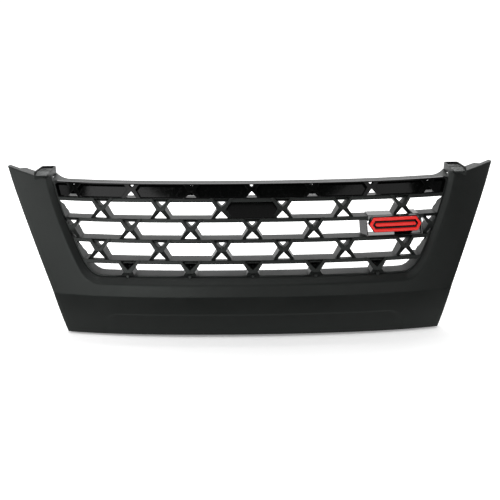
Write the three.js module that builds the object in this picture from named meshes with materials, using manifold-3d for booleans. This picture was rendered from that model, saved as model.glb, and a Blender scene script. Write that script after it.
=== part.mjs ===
// Front grille: a bowed, backward-leaning surround with a honeycomb insert, gloss blanking
// pieces, an emblem in its own box, and the screws and clips that hold them together.
// Millimetres, +X to the right seen from in front, +Y into the vehicle, +Z up.
import * as THREE from 'three';
import { mergeVertices } from 'three/addons/utils/BufferGeometryUtils.js';
import Module from 'manifold-3d';

const wasm = await Module();
wasm.setup();

// ---- Face of the grille ------------------------------------------------------------------
// The face is y = bow(x) + lean * z, and the skirt below the crease leans less.
const BOW_X2 = 1.4565e-4;
const BOW_X4 = 6.218e-10;
const LEAN = 0.6236;
const CREASE_Z = -113;
const SKIRT_LEAN = 0.18;

// ---- Surround ----------------------------------------------------------------------------
const PROUD = 12;                       // surround face in front of the honeycomb face
const SKIN = 3;
const WALL = 2.6;
const LIP_RUN = 10;                     // how far the chamfered lip runs inward
const LIP_RETURN = 9;                   // straight wall behind the lip
const WING_TIP = [528.8, 111.2];
const WING_SHOULDER = [506, 70];
const WING_ELBOW = [396.2, CREASE_Z];
const WING_FOOT = [368.5, -187.5];
const SKIRT_MIDDLE_Z = -186;
const SKIRT_LEVEL = 62;                 // the skirt's edge is level this far out from the middle
const OPENING_TOP = [433.5, 94.3];
const TOP_RETURN = 38;
const SIDE_RETURN = 18;
const SKIRT_RETURN = 30;
const TOP_RETURN_STOP = 26;              // the deep top return ends this far from the wing's tip
const RIB = 2.2;
const RIB_DEPTH = 12;
const SKIRT_RIB_XS = [62, 186, 300];
const WING_RIB_ZS = [-75, -8, 44];
const RIB_INNER = { low: 357, high: 441.6 };   // inner ends of the wing ribs, low down and at the top
const TAB = { inner: 429, outer: 459, front: 104, back: 162, floor: 101.5, plate: 104, top: 108 };
const TAB_WALL_FOOT = { back: 97, outer: 92, inner: 90 };
const TAB_HOLE = { x: 447, y: 138, radius: 4.3 };
const TAB_RAMP = [[99.5, 97], [103, 94.5], [126, TAB.floor], [126, TAB.plate], [122, TAB.plate]];   // [y, z]

// ---- Honeycomb insert --------------------------------------------------------------------
const PITCH_X = 124;                    // between crossings of one row
const PITCH_Z = 36.8;                   // between rows
const ROWS = [2, 1, 0, -1, -2];
const CELL_ABOVE = 13.2;                // crossing to the bar above
const CELL_BELOW = 17;                  // crossing to the bar below
const WAIST = 9;                        // half width of a crossing
const FOOT_UP = 19;                     // half width of a crossing at the bar above
const FOOT_DOWN = 21.3;                 // half width of a crossing at the bar below
const ARM = 8.2;                        // width of one arm, measured level
const APEX = 3.6;                       // crossing to the point of each small triangle
const DEPTH = 36;
const RIM = 2.6;
const GAP = 0.4;                        // between neighbouring pieces
const INSERT_TOP_Z = 84;
const INSERT_TOP_RISE = 2;
const TOP_WALL = 4;
const TOP_REACH = 400;
const GUSSET = [[390, 30], [424, 30], [424, 58], [412, 46]];   // [x, depth] behind each end of the top wall
const EMBLEM_CROSSING = 2;              // this crossing of the middle row makes way for the emblem

// ---- Emblem and its box --------------------------------------------------------------------
const BOX = { left: 232, right: 350, low: -CELL_BELOW + GAP, high: CELL_ABOVE - GAP, back: 31 };
const BOX_SHEET = 1.6;                  // floor and roof of the box
const BOX_DRAFT = 10;                   // the left wall runs outward to the back
const BOX_PLATE = { left: 290, front: 4 };
const STUDS = [[304, 4], [332, 4]];
const STUD_R = 2;
const EMBLEM = { x: 288.5, z: 8.5, length: 108, height: 25, stroke: 5.2, front: -24, thick: 4, base: 12 };
const EMBLEM_BASE_GROW = 1.5;
const EMBLEM_BAR_GAP = 4.4;             // between the ring and the bar
const TRIM = { left: 236, right: 344, thick: 1.5 };

// ---- Small parts -------------------------------------------------------------------------
const PANEL = 3;
const PANEL_RIB = 8.4;                  // how far the upper panel's ribs stand in front of it
const PANEL_EDGE = 1.4;
const PANEL_SEAT = PANEL_RIB + PANEL + 0.6;
const PANEL_TAB = { width: 28, low: 61, high: 82 };
const PAD = 5;                          // screw pads stand this far behind their plates
const PAD_R = 5.6;
const BLANK_FRONT = 4;
const BLANK_DEPTH = 22;
const PANEL_SCREW = { length: 17, radius: 1.4, hole: 1.8, pilotFront: 2.5 };
const SCREW_R = 2;
const SCREW_HOLE_R = 2.4;
const BOSS_R = 4.6;
const EAR_R = 8.5;
const EAR = 2.6;
const SCREW_LENGTH = 16;
const SKIRT_SCREWS = { xs: [62, 186, 292], z: -94 };
const SIDE_SCREW_ZS = [-35, 20, 68];
const CLIP_XS = [-280, -140, 140, 280];
const CLIP = { reach: 15, width: 16, steel: 0.9, flare: 2.2, barb: 4.5 };
const STRIP = PITCH_X / 2;              // the bow is made of flat strips this wide
const FAR = 600;                        // beyond the grille on every side

const black = (color, roughness) => new THREE.MeshStandardMaterial({ color, roughness, metalness: 0 });
const MATTE = black(0x2a2b2a, 0.62);
const MESH_BLACK = black(0x1f201f, 0.5);
const GLOSS = black(0x060606, 0.08);
const RED = new THREE.MeshStandardMaterial({ color: 0xe0231c, roughness: 0.25, metalness: 0 });
const ZINC = new THREE.MeshStandardMaterial({ color: 0xa9abae, roughness: 0.35, metalness: 1 });

// ---- Geometry helpers --------------------------------------------------------------------
function bow(x) {
  return BOW_X2 * x * x + BOW_X4 * x ** 4;
}

function face(x, z) {
  const above = Math.max(z, CREASE_Z);
  const below = Math.min(z - CREASE_Z, 0);
  return bow(x) + LEAN * above + SKIRT_LEAN * below;
}

function toSolid(geometry) {
  const bare = geometry.clone();
  bare.deleteAttribute('normal');
  bare.deleteAttribute('uv');
  const merged = mergeVertices(bare, 1e-4);
  const vertProperties = new Float32Array(merged.getAttribute('position').array);
  const triVerts = new Uint32Array(merged.getIndex().array);
  return new wasm.Manifold(new wasm.Mesh({ numProp: 3, vertProperties, triVerts }));
}

function toGeometry(solid) {
  const { vertProperties, triVerts } = solid.getMesh();
  const geometry = new THREE.BufferGeometry();
  geometry.setAttribute('position', new THREE.BufferAttribute(vertProperties, 3));
  geometry.setIndex(new THREE.BufferAttribute(triVerts, 1));
  return geometry;
}

function joined(solids) {
  return solids.reduce((whole, solid) => whole.add(solid));
}

// A plate whose outline is a list of [x, z], between two depths along Y.
function plate(outline, front, back) {
  const shape = new THREE.Shape(outline.map(([x, z]) => new THREE.Vector2(x, z)));
  const geometry = new THREE.ExtrudeGeometry(shape, { depth: back - front, bevelEnabled: false });
  geometry.rotateX(Math.PI / 2).translate(0, back, 0);
  return toSolid(geometry);
}

// A level plate whose outline is a list of [x, y], between two heights.
function shelf(outline, low, high) {
  const shape = new THREE.Shape(outline.map(([x, y]) => new THREE.Vector2(x, y)));
  const geometry = new THREE.ExtrudeGeometry(shape, { depth: high - low, bevelEnabled: false });
  geometry.translate(0, 0, low);
  return toSolid(geometry);
}

// A solid whose outline is a list of [y, z], between two places across the width.
function profile(outline, left, right) {
  const shape = new THREE.Shape(outline.map(([y, z]) => new THREE.Vector2(y, z)));
  const geometry = new THREE.ExtrudeGeometry(shape, { depth: right - left, bevelEnabled: false });
  geometry.rotateX(Math.PI / 2).rotateZ(Math.PI / 2).translate(left, 0, 0);
  return toSolid(geometry);
}

function block(low, high) {
  return shelf([[low[0], low[1]], [high[0], low[1]], [high[0], high[1]], [low[0], high[1]]], low[2], high[2]);
}

function rectangle(x0, z0, x1, z1) {
  return [[x0, z0], [x1, z0], [x1, z1], [x0, z1]];
}

// A round peg along Y.
function peg(x, z, radius, front, back, sides = 16) {
  const geometry = new THREE.CylinderGeometry(radius, radius, back - front, sides);
  geometry.translate(x, (front + back) / 2, z);
  return toSolid(geometry);
}

// The same path moved sideways, to the left of its direction of travel.
function offsetPath(path, distance) {
  return path.map((point, i) => {
    const before = path[Math.max(i - 1, 0)];
    const after = path[Math.min(i + 1, path.length - 1)];
    const inward = new THREE.Vector2(point[0] - before[0], point[1] - before[1]).normalize();
    const outward = new THREE.Vector2(after[0] - point[0], after[1] - point[1]).normalize();
    if (i === 0) inward.copy(outward);
    if (i === path.length - 1) outward.copy(inward);
    const mean = inward.clone().add(outward).normalize();
    const reach = distance / mean.dot(outward);
    return [point[0] - mean.y * reach, point[1] + mean.x * reach];
  });
}

function mirrored(points) {
  return points.map(([x, z]) => [-x, z]).reverse();
}

// A wall of the given thickness to the left of a path, between two depths.
function wallAlong(path, thickness, front, back) {
  return plate([...path, ...offsetPath(path, thickness).reverse()], front, back);
}

// A section of [sideways, depth] points swept along a path.
function sweep(path, section) {
  const rings = section.map(([sideways]) => offsetPath(path, sideways));
  const positions = [];
  path.forEach((_, i) => {
    section.forEach(([, depth], k) => positions.push(rings[k][i][0], depth, rings[k][i][1]));
  });
  const count = section.length;
  const index = [];
  for (let i = 0; i + 1 < path.length; i += 1) {
    for (let k = 0; k < count; k += 1) {
      const a = i * count + k;
      const b = i * count + (k + 1) % count;
      index.push(a, a + count, b, b, a + count, b + count);
    }
  }
  const cap = THREE.ShapeUtils.triangulateShape(section.map(([s, d]) => new THREE.Vector2(s, d)), []);
  const last = (path.length - 1) * count;
  cap.forEach(([a, b, c]) => {
    index.push(a, b, c);
    index.push(last + a, last + c, last + b);
  });
  const geometry = new THREE.BufferGeometry();
  geometry.setAttribute('position', new THREE.Float32BufferAttribute(positions, 3));
  geometry.setIndex(index);
  return toSolid(geometry);
}

// Takes a solid made against a flat face and lays it on the bowed, leaning face. The face is
// made of flat strips, so each strip is cut out, slanted as a whole and joined to the last.
function bowed(solid) {
  const strips = Math.ceil(WING_TIP[0] / STRIP);
  const parts = [];
  for (let i = -strips; i < strips; i += 1) {
    [[-FAR, CREASE_Z], [CREASE_Z, FAR]].forEach(([low, high]) => {
      const cut = solid.intersect(block([i * STRIP, -FAR, low], [(i + 1) * STRIP, FAR, high]));
      if (!cut.isEmpty()) parts.push(slanted(cut));
    });
  }
  return joined(parts);
}

function slanted(solid) {
  const geometry = toGeometry(solid);
  const position = geometry.getAttribute('position');
  for (let i = 0; i < position.count; i += 1) {
    position.setY(i, position.getY(i) + stripFace(position.getX(i), position.getZ(i)));
  }
  return toSolid(geometry);
}

// The face as its flat strips have it.
function stripFace(x, z) {
  const left = Math.floor(x / STRIP) * STRIP;
  const share = (x - left) / STRIP;
  return face(left, z) * (1 - share) + face(left + STRIP, z) * share;
}

// ---- Outlines, [x, z] --------------------------------------------------------------------
// The crest is the inner edge of the surround, from the left wing down, across and up.
function crestPath() {
  const half = new THREE.Path();
  half.moveTo(0, -93).lineTo(300, -93);
  half.quadraticCurveTo(329.7, -93, 352.9, -57.8);
  half.quadraticCurveTo(412.4, 32.4, ...OPENING_TOP);
  const right = half.getPoints(6).map((point) => [point.x, point.y]);
  return [...mirrored(right.slice(1)), ...right];
}

function skirtEdge() {
  const half = new THREE.Path();
  half.moveTo(...WING_FOOT);
  half.quadraticCurveTo(WING_FOOT[0] / 2, SKIRT_MIDDLE_Z, SKIRT_LEVEL, SKIRT_MIDDLE_Z);
  const right = half.getPoints(4).map((point) => [point.x, point.y]);
  return [...right, ...mirrored(right)];
}

const crest = crestPath();
const wingSide = [WING_TIP, WING_SHOULDER, WING_ELBOW, WING_FOOT];

function topLine(reach) {
  const points = [];
  for (let i = 8; i >= -8; i -= 1) {
    const x = reach * i / 8;
    points.push([x, INSERT_TOP_Z + INSERT_TOP_RISE * (x / reach) ** 2]);
  }
  return points;
}

// The opening, shrunk by some distance, with a straight or curved top added.
function openingOutline(inset, top) {
  const reach = Math.max(...top.map(([x]) => Math.abs(x)));
  const ceiling = Math.min(...top.map(([, z]) => z));
  const line = offsetPath(crest, inset).filter(([, z]) => z < ceiling - GAP);
  const [low, high] = offsetPath(crest, inset).slice(-2);
  const edgeX = (z) => low[0] + (high[0] - low[0]) * (z - low[1]) / (high[1] - low[1]);
  const lid = top.map(([x, z]) => [Math.abs(x) === reach ? Math.sign(x) * edgeX(z) : x, z]);
  return [...line, ...lid];
}

// ---- Surround ----------------------------------------------------------------------------
function fasteningPoints() {
  const onSide = (z) => {
    const i = crest.findIndex((point, k) => k > crest.length / 2 && point[1] >= z);
    const [low, high] = [crest[i - 1], crest[i]];
    const share = (z - low[1]) / (high[1] - low[1]);
    const run = new THREE.Vector2(high[0] - low[0], high[1] - low[1]).normalize();
    return { at: [low[0] + (high[0] - low[0]) * share, z], inward: [-run.y, run.x] };
  };
  const skirt = SKIRT_SCREWS.xs.map((x) => ({ at: [x, SKIRT_SCREWS.z], inward: [0, 1] }));
  const half = [...skirt, ...SIDE_SCREW_ZS.map(onSide)];
  const left = half.map(({ at, inward }) => ({ at: [-at[0], at[1]], inward: [-inward[0], inward[1]] }));
  return [...half, ...left];
}

// The front of an ear clears the lip's return wall over the whole width of the ear.
function earFront({ at, inward }) {
  const reach = LIP_RUN - WALL / 2;
  const x = at[0] + inward[0] * reach;
  const z = at[1] + inward[1] * reach;
  return face(x, z) + LIP_RETURN + EAR_R * Math.abs(inward[0]) + 3;
}

// A tray with one hole, open to the front, behind the top corner of a wing.
function tab(side) {
  const { inner, outer, front, back, floor, top } = TAB;
  const part = (from, to, [y0, y1], [z0, z1]) => {
    const [x0, x1] = side > 0 ? [from, to] : [-to, -from];
    return block([x0, y0, z0], [x1, y1, z1]);
  };
  const tray = part(inner, outer, [TAB_RAMP[2][0] - 1, back], [floor, TAB.plate]);
  const ramp = side > 0 ? profile(TAB_RAMP, inner, outer) : profile(TAB_RAMP, -outer, -inner);
  const backWall = part(inner, outer, [back - WALL, back], [TAB_WALL_FOOT.back, top]);
  const outerWall = part(outer - WALL, outer, [front, back], [TAB_WALL_FOOT.outer, top]);
  const innerWall = part(inner, inner + WALL, [front, back], [TAB_WALL_FOOT.inner, top]);
  const hole = shelf(circle(side * TAB_HOLE.x, TAB_HOLE.y, TAB_HOLE.radius), floor - GAP, TAB.plate + GAP);
  return joined([tray, ramp, backWall, outerWall, innerWall]).subtract(hole);
}

function circle(cx, cy, radius, sides = 20) {
  return Array.from({ length: sides }, (_, i) => {
    const angle = 2 * Math.PI * i / sides;
    return [cx + radius * Math.cos(angle), cy + radius * Math.sin(angle)];
  });
}

function surround() {
  const edge = skirtEdge();
  const outline = [...offsetPath(crest, -1), WING_TIP, WING_SHOULDER, WING_ELBOW, ...edge,
    ...mirrored(wingSide.slice(0, 3))];
  const skin = plate(outline, -PROUD, SKIN - PROUD);
  const lip = sweep(crest, [
    [-2, -PROUD], [0, -PROUD], [LIP_RUN, 0], [LIP_RUN, LIP_RETURN], [LIP_RUN - WALL, LIP_RETURN],
    [LIP_RUN - WALL, 1], [-1, SKIN - PROUD], [-2, SKIN - PROUD],
  ]);
  const rightWall = wallAlong(wingSide, -WALL, -PROUD, SIDE_RETURN - PROUD);
  const leftWall = wallAlong(mirrored(wingSide), -WALL, -PROUD, SIDE_RETURN - PROUD);
  const skirt = wallAlong(edge, -WALL, -PROUD, SKIRT_RETURN - PROUD);
  const topSlope = (WING_TIP[1] - OPENING_TOP[1]) / (WING_TIP[0] - OPENING_TOP[0]);
  const topEdge = [OPENING_TOP, [WING_TIP[0] - TOP_RETURN_STOP, WING_TIP[1] - TOP_RETURN_STOP * topSlope]];
  const rightTop = wallAlong(topEdge, -WALL, -PROUD, TOP_RETURN - PROUD);
  const leftTop = wallAlong(mirrored(topEdge), -WALL, -PROUD, TOP_RETURN - PROUD);
  const flat = joined([skin, lip, rightWall, leftWall, skirt, rightTop, leftTop, ...ribs()]);
  const shell = joined([bowed(flat), tab(1), tab(-1)]);
  const points = fasteningPoints();
  const bosses = points.map((point) => {
    const [x, z] = point.at;
    return peg(x, z, BOSS_R, face(x, z) - PROUD, earFront(point) - GAP);
  });
  const holes = points.map((point) => {
    const [x, z] = point.at;
    return peg(x, z, SCREW_HOLE_R, earFront(point) - SCREW_LENGTH + 1, earFront(point) + 1);
  });
  return shell.add(joined(bosses).subtract(inFront())).subtract(joined(holes));
}

// Everything near the crest in front of the middle of the surround's skin.
function inFront() {
  const reach = LIP_RUN + 2;
  const slope = PROUD / LIP_RUN;
  const middle = 1 - PROUD;
  const ahead = -5 * PROUD;
  return bowed(sweep(crest, [[-reach, ahead], [reach, ahead], [reach, middle + reach * slope],
    [0, middle], [-reach, middle]]));
}

function ribs() {
  const depth = [SKIN - PROUD - 1, SKIN - PROUD + RIB_DEPTH];
  const [top, foot] = [crest[0][1], SKIRT_MIDDLE_Z];
  const sideSlope = (WING_SHOULDER[0] - WING_ELBOW[0]) / (WING_SHOULDER[1] - WING_ELBOW[1]);
  const upright = SKIRT_RIB_XS.flatMap((x) => [x, -x]).map((x) =>
    plate(rectangle(x - RIB / 2, foot, x + RIB / 2, SKIRT_SCREWS.z), ...depth));
  const level = WING_RIB_ZS.flatMap((z) => {
    const share = (z - WING_RIB_ZS[0]) / (top - WING_RIB_ZS[0]);
    const inner = RIB_INNER.low + (RIB_INNER.high - RIB_INNER.low) * share;
    const outer = WING_ELBOW[0] + (z - CREASE_Z) * sideSlope - 1;
    return [[inner, outer], [-outer, -inner]].map(([x0, x1]) =>
      plate(rectangle(x0, z, x1, z + RIB), ...depth));
  });
  return [...upright, ...level];
}

// ---- Honeycomb ---------------------------------------------------------------------------
function crossings(row) {
  const start = row % 2 === 0 ? -4 : -4.5;
  const list = [];
  for (let i = start; i <= 4.5; i += 1) {
    if (!(row === 0 && i === EMBLEM_CROSSING)) list.push(i * PITCH_X);
  }
  return list;
}

function hexCell(left, right, z) {
  return [[left + WAIST, z], [left + FOOT_DOWN, z - CELL_BELOW], [right - FOOT_DOWN, z - CELL_BELOW],
    [right - WAIST, z], [right - FOOT_UP, z + CELL_ABOVE], [left + FOOT_UP, z + CELL_ABOVE]];
}

function triangleUp(x, z) {
  const half = FOOT_DOWN - ARM;
  return [[x - half, z - CELL_BELOW], [x + half, z - CELL_BELOW], [x, z - APEX]];
}

function triangleDown(x, z) {
  const half = FOOT_UP - ARM;
  return [[x, z + APEX], [x + half, z + CELL_ABOVE], [x - half, z + CELL_ABOVE]];
}

// The hexagons and triangles of one row, as outlines.
function hexOutlines(row) {
  const places = crossings(row);
  return places.slice(1).map((x, i) => hexCell(places[i], x, row * PITCH_Z));
}

function triangleOutlines(row) {
  return crossings(row).flatMap((x) => [triangleUp(x, row * PITCH_Z), triangleDown(x, row * PITCH_Z)]);
}

function levelTop(z) {
  return [[1, z], [-1, z]];
}

const PANEL_LOW = 2 * PITCH_Z - CELL_BELOW;
const INNER_TOP = INSERT_TOP_Z - TOP_WALL;

// Everything inside the insert's rim, less a margin, up to some height.
function inside(margin, top, front, back) {
  return plate(openingOutline(LIP_RUN + GAP + RIM + margin, top), front, back);
}

function band(low, front, back) {
  return plate(rectangle(-FAR, low, FAR, FAR), front, back);
}

function honeycomb() {
  const body = plate(openingOutline(LIP_RUN + GAP, topLine(TOP_REACH)), 0, DEPTH);
  const rows = ROWS.slice(1);
  const outlines = rows.flatMap((row) => [...hexOutlines(row), ...triangleOutlines(row)]);
  const cells = joined(outlines.map((outline) => plate(outline, -1, DEPTH + 1)));
  const slot = band(PANEL_LOW, 0, DEPTH + 1);
  const carved = body.subtract(cells.add(slot).intersect(inside(0, levelTop(INNER_TOP), -2, DEPTH + 2)));
  const seat = inside(0, levelTop(FAR / 4), -1, PANEL_SEAT).intersect(band(PANEL_LOW, -2, PANEL_SEAT + 1));
  const tabs = panelScrewPlaces().map(([x]) => plate(rectangle(x - PANEL_TAB.width / 2, PANEL_TAB.low,
    x + PANEL_TAB.width / 2, PANEL_TAB.high), PANEL_SEAT, PANEL_SEAT + PANEL));
  const gussets = [GUSSET, mirrored(GUSSET)].map((outline) => shelf(outline, INNER_TOP, INSERT_TOP_Z));
  return joined([carved.subtract(seat), ...tabs, ...gussets]);
}

function insert() {
  const points = fasteningPoints();
  const shell = bowed(honeycomb());
  const ears = points.map(({ at, inward }) => {
    const front = earFront({ at, inward });
    const reach = LIP_RUN + GAP + RIM / 2;
    const across = [-inward[1], inward[0]];
    const corner = (run, width) => [at[0] + inward[0] * run + across[0] * width,
      at[1] + inward[1] * run + across[1] * width];
    const arm = plate([corner(0, EAR_R), corner(0, -EAR_R), corner(reach, -EAR_R), corner(reach, EAR_R)],
      front, front + EAR);
    return arm.add(peg(...at, EAR_R, front, front + EAR, 20));
  });
  const holes = points.map((point) =>
    peg(...point.at, SCREW_HOLE_R, earFront(point) - 2, earFront(point) + EAR + 2));
  const ahead = bowed(band(PANEL_LOW, -PANEL_SEAT, PANEL_SEAT));
  const places = panelScrewPlaces();
  const pads = places.map((place) =>
    peg(...place, PAD_R, face(...place) + PANEL_SEAT + 1, padBack(...place)).subtract(ahead));
  const panelHoles = places.map((place) =>
    peg(...place, PANEL_SCREW.hole, face(...place) + PANEL, padBack(...place) + 1));
  return shell.add(joined([...ears, ...pads])).subtract(joined([...holes, ...panelHoles]));
}

// ---- Gloss pieces ------------------------------------------------------------------------
function panelScrewPlaces() {
  return [-3, -1, 1, 3].map((i) => [i * PITCH_X, 2 * PITCH_Z]);
}

// A plate with the top row's ribs standing on its front.
function upperPanel() {
  const back = PANEL_RIB + PANEL;
  const low = PANEL_LOW + GAP;
  const top = INSERT_TOP_Z - PANEL_EDGE;
  const body = inside(GAP, topLine(TOP_REACH), 0, back).intersect(band(low, -1, back + 1));
  const clear = inside(GAP + PANEL_EDGE, levelTop(top), -2, back + 2)
    .intersect(band(low + PANEL_EDGE, -2, back + 2));
  const pockets = joined(hexOutlines(2).map((outline) => plate(outline, -1, PANEL_RIB)));
  const windows = joined(triangleOutlines(2).map((outline) => plate(outline, -1, back + 1)));
  const holes = panelScrewPlaces().map((place) =>
    peg(...place, PANEL_SCREW.hole, face(...place) + PANEL_SCREW.pilotFront, padBack(...place)));
  return bowed(body.subtract(pockets.add(windows).intersect(clear))).subtract(joined(holes));
}

function padBack(x, z) {
  return face(x, z) + PANEL_SEAT + PANEL + PAD;
}

function shrunk(outline, distance) {
  return offsetPath([outline.at(-1), ...outline, outline[0]], distance).slice(1, -1);
}

function centreBlank() {
  const outline = hexCell(-PITCH_X / 2, PITCH_X / 2, PITCH_Z);
  const back = BLANK_FRONT + PANEL;
  const cover = plate(shrunk(outline, GAP), BLANK_FRONT, back);
  const hollow = plate(shrunk(outline, GAP + 2), back - 2, BLANK_DEPTH + 1);
  const skirt = plate(shrunk(outline, GAP), back - 1, BLANK_DEPTH).subtract(hollow);
  return bowed(cover.add(skirt));
}

function emblemBox() {
  const { left, right, low, high, back } = BOX;
  const side = shelf([[left, 0], [left + WALL, 0], [left + WALL - BOX_DRAFT, back], [left - BOX_DRAFT, back]],
    low, high);
  const floor = plate(rectangle(left, low, right, low + BOX_SHEET), 0, back);
  const roof = plate(rectangle(left, high - BOX_SHEET, right, high), 0, back);
  const end = plate(rectangle(right - WALL, low, right, high), 0, back);
  const { front } = BOX_PLATE;
  const carrier = plate(rectangle(BOX_PLATE.left, low, right, high), front, front + PANEL);
  const shell = bowed(joined([side, floor, roof, end, carrier]));
  const pads = STUDS.map((place) =>
    peg(...place, PAD_R, face(...place) + front + 1, studSeat(...place)));
  const holes = STUDS.map((place) =>
    peg(...place, STUD_R + GAP, face(...place), studSeat(...place) + 1));
  return shell.add(joined(pads)).subtract(joined(holes));
}

function studSeat(x, z) {
  return face(x, z) + BOX_PLATE.front + PANEL + PAD;
}

function barTrim() {
  const top = PITCH_Z - CELL_BELOW + GAP;
  const foot = (EMBLEM_CROSSING + 0.5) * PITCH_X;
  const { left, right, thick } = TRIM;
  const strip = plate(rectangle(left, CELL_ABOVE, right, top + thick), -GAP - thick, -GAP);
  const caps = [[left, foot - FOOT_DOWN - 1], [foot + FOOT_DOWN + 1, right]].map(([x0, x1]) =>
    plate(rectangle(x0, top, x1, top + thick), -GAP - thick, DEPTH));
  return bowed(joined([strip, ...caps]));
}

// ---- Emblem: a long hexagon ring round a bar, on a gloss base ------------------------------
function longHexagon(grow) {
  const halfLength = EMBLEM.length / 2 + grow * 1.2;
  const halfHeight = EMBLEM.height / 2 + grow;
  const shoulder = halfLength - halfHeight * 0.75;
  return [[-halfLength, 0], [-shoulder, -halfHeight], [shoulder, -halfHeight], [halfLength, 0],
    [shoulder, halfHeight], [-shoulder, halfHeight]].map(([x, z]) => [x + EMBLEM.x, z + EMBLEM.z]);
}

function emblemBase() {
  const front = EMBLEM.front + EMBLEM.thick + GAP;
  const inside = front + EMBLEM.base / 2;
  const body = bowed(plate(longHexagon(EMBLEM_BASE_GROW), front, front + EMBLEM.base));
  const legs = STUDS.map((place) =>
    peg(...place, PAD_R, face(...place) + inside, face(...place) + BOX_PLATE.front - 3.5));
  const studs = STUDS.map((place) => peg(...place, STUD_R, face(...place) + inside, studSeat(...place) + 7));
  return joined([body, ...legs, ...studs]);
}

function emblemRing() {
  const { front, thick, stroke } = EMBLEM;
  return bowed(plate(longHexagon(0), front, front + thick)
    .subtract(plate(longHexagon(-stroke), front - 1, front + thick + 1)));
}

function emblemBar() {
  const { front, thick, stroke } = EMBLEM;
  return bowed(plate(longHexagon(-stroke - EMBLEM_BAR_GAP), front, front + thick));
}

// ---- Fasteners, each along Y with its seat at y = 0 and its head behind ---------------------
function lathed(profile, sides = 16) {
  const points = profile.map(([radius, y]) => new THREE.Vector2(radius, y));
  return new THREE.LatheGeometry(points, sides);
}

function screwGeometry(length, radius) {
  return lathed([[0, -length], [radius * 0.4, -length + 0.2], [radius, -length + 3], [radius, 0], [5.2, 0],
    [5.2, 1.2], [3.8, 1.5], [3.6, 4.2], [3.1, 4.7], [0, 4.7]]);
}

function nutGeometry() {
  const ring = new THREE.Shape(circle(0, 0, 5.2, 6).map(([x, y]) => new THREE.Vector2(x, y)));
  ring.holes.push(new THREE.Path(circle(0, 0, 2.4, 16).map(([x, y]) => new THREE.Vector2(x, y))));
  const geometry = new THREE.ExtrudeGeometry(ring, { depth: 4, bevelEnabled: false });
  return geometry.rotateX(-Math.PI / 2);
}

// A spring clip that straddles the rear edge of the skirt's shelf, open to the front.
function clipGeometry() {
  const { reach, width, steel, flare, barb } = CLIP;
  const inside = WALL / 2 + GAP;
  const outside = inside + steel;
  const bend = 0.8;
  const shape = new THREE.Shape([
    [2 - reach, -inside], [bend, -inside], [bend, inside], [2 - reach, inside],
    [-reach, inside + flare], [-reach, outside + flare], [2.4 - reach, outside], [-6, outside],
    [-4, inside + barb], [0, outside], [bend + steel, outside], [bend + steel, -outside],
    [2.4 - reach, -outside], [-reach, -outside - 1.6], [-reach, -inside - 1.6],
  ].map(([y, z]) => new THREE.Vector2(y, z)));
  const geometry = new THREE.ExtrudeGeometry(shape, { depth: width, bevelEnabled: false });
  return geometry.translate(0, 0, -width / 2).rotateY(Math.PI / 2).rotateX(Math.PI / 2);
}

// ---- Assembly ----------------------------------------------------------------------------
// The origin is the point on the underside of the skirt's shelf where the grille sits.
const SEAT_DEPTH = -3;
const grille = new THREE.Group();
grille.position.set(0, -face(0, SKIRT_MIDDLE_Z) - SEAT_DEPTH, -SKIRT_MIDDLE_Z);

function addMesh(name, geometry, material, position = [0, 0, 0]) {
  const mesh = new THREE.Mesh(geometry, material);
  mesh.name = name;
  mesh.position.set(...position);
  grille.add(mesh);
  return mesh;
}

addMesh('surround', toGeometry(surround()), MATTE);
addMesh('honeycomb_insert', toGeometry(insert()), MESH_BLACK);
addMesh('upper_blanking_panel', toGeometry(upperPanel()), GLOSS);
addMesh('centre_blank', toGeometry(centreBlank()), GLOSS);
addMesh('emblem_box', toGeometry(emblemBox()), GLOSS);
addMesh('bar_trim', toGeometry(barTrim()), GLOSS);
addMesh('emblem_base', toGeometry(emblemBase()), GLOSS);
addMesh('emblem_ring', toGeometry(emblemRing()), RED);
addMesh('emblem_bar', toGeometry(emblemBar()), RED);

STUDS.forEach(([x, z], i) => {
  addMesh(`emblem_nut_${i + 1}`, nutGeometry(), ZINC, [x, studSeat(x, z) + GAP, z]);
});
panelScrewPlaces().forEach(([x, z], i) => {
  const { length, radius } = PANEL_SCREW;
  addMesh(`panel_screw_${i + 1}`, screwGeometry(length, radius), ZINC, [x, padBack(x, z) + GAP, z]);
});
fasteningPoints().forEach((point, i) => {
  const [x, z] = point.at;
  const y = earFront(point) + EAR + GAP;
  addMesh(`insert_screw_${i + 1}`, screwGeometry(SCREW_LENGTH - 2, SCREW_R), ZINC, [x, y, z]);
});
CLIP_XS.forEach((x, i) => {
  const z = SKIRT_MIDDLE_Z + WALL / 2 - 1.5 * (x / WING_FOOT[0]) ** 2;
  const y = face(x, z) + SKIRT_RETURN - PROUD;
  const mesh = addMesh(`skirt_clip_${i + 1}`, clipGeometry(), ZINC, [x, y + GAP, z]);
  mesh.rotation.z = Math.atan(2 * BOW_X2 * x + 4 * BOW_X4 * x ** 3);
});

export default grille;
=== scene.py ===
"""A bowed black front grille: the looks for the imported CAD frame.

Lengths are millimetres in the grille's own layout, where z = 0 is the middle row of crossings and
depth is measured along +Y from the honeycomb's face. seat() turns them into the frame's metres.
"""
import math

import bmesh
import bpy
from mathutils import Matrix, Vector
from mathutils.geometry import delaunay_2d_cdt


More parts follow.
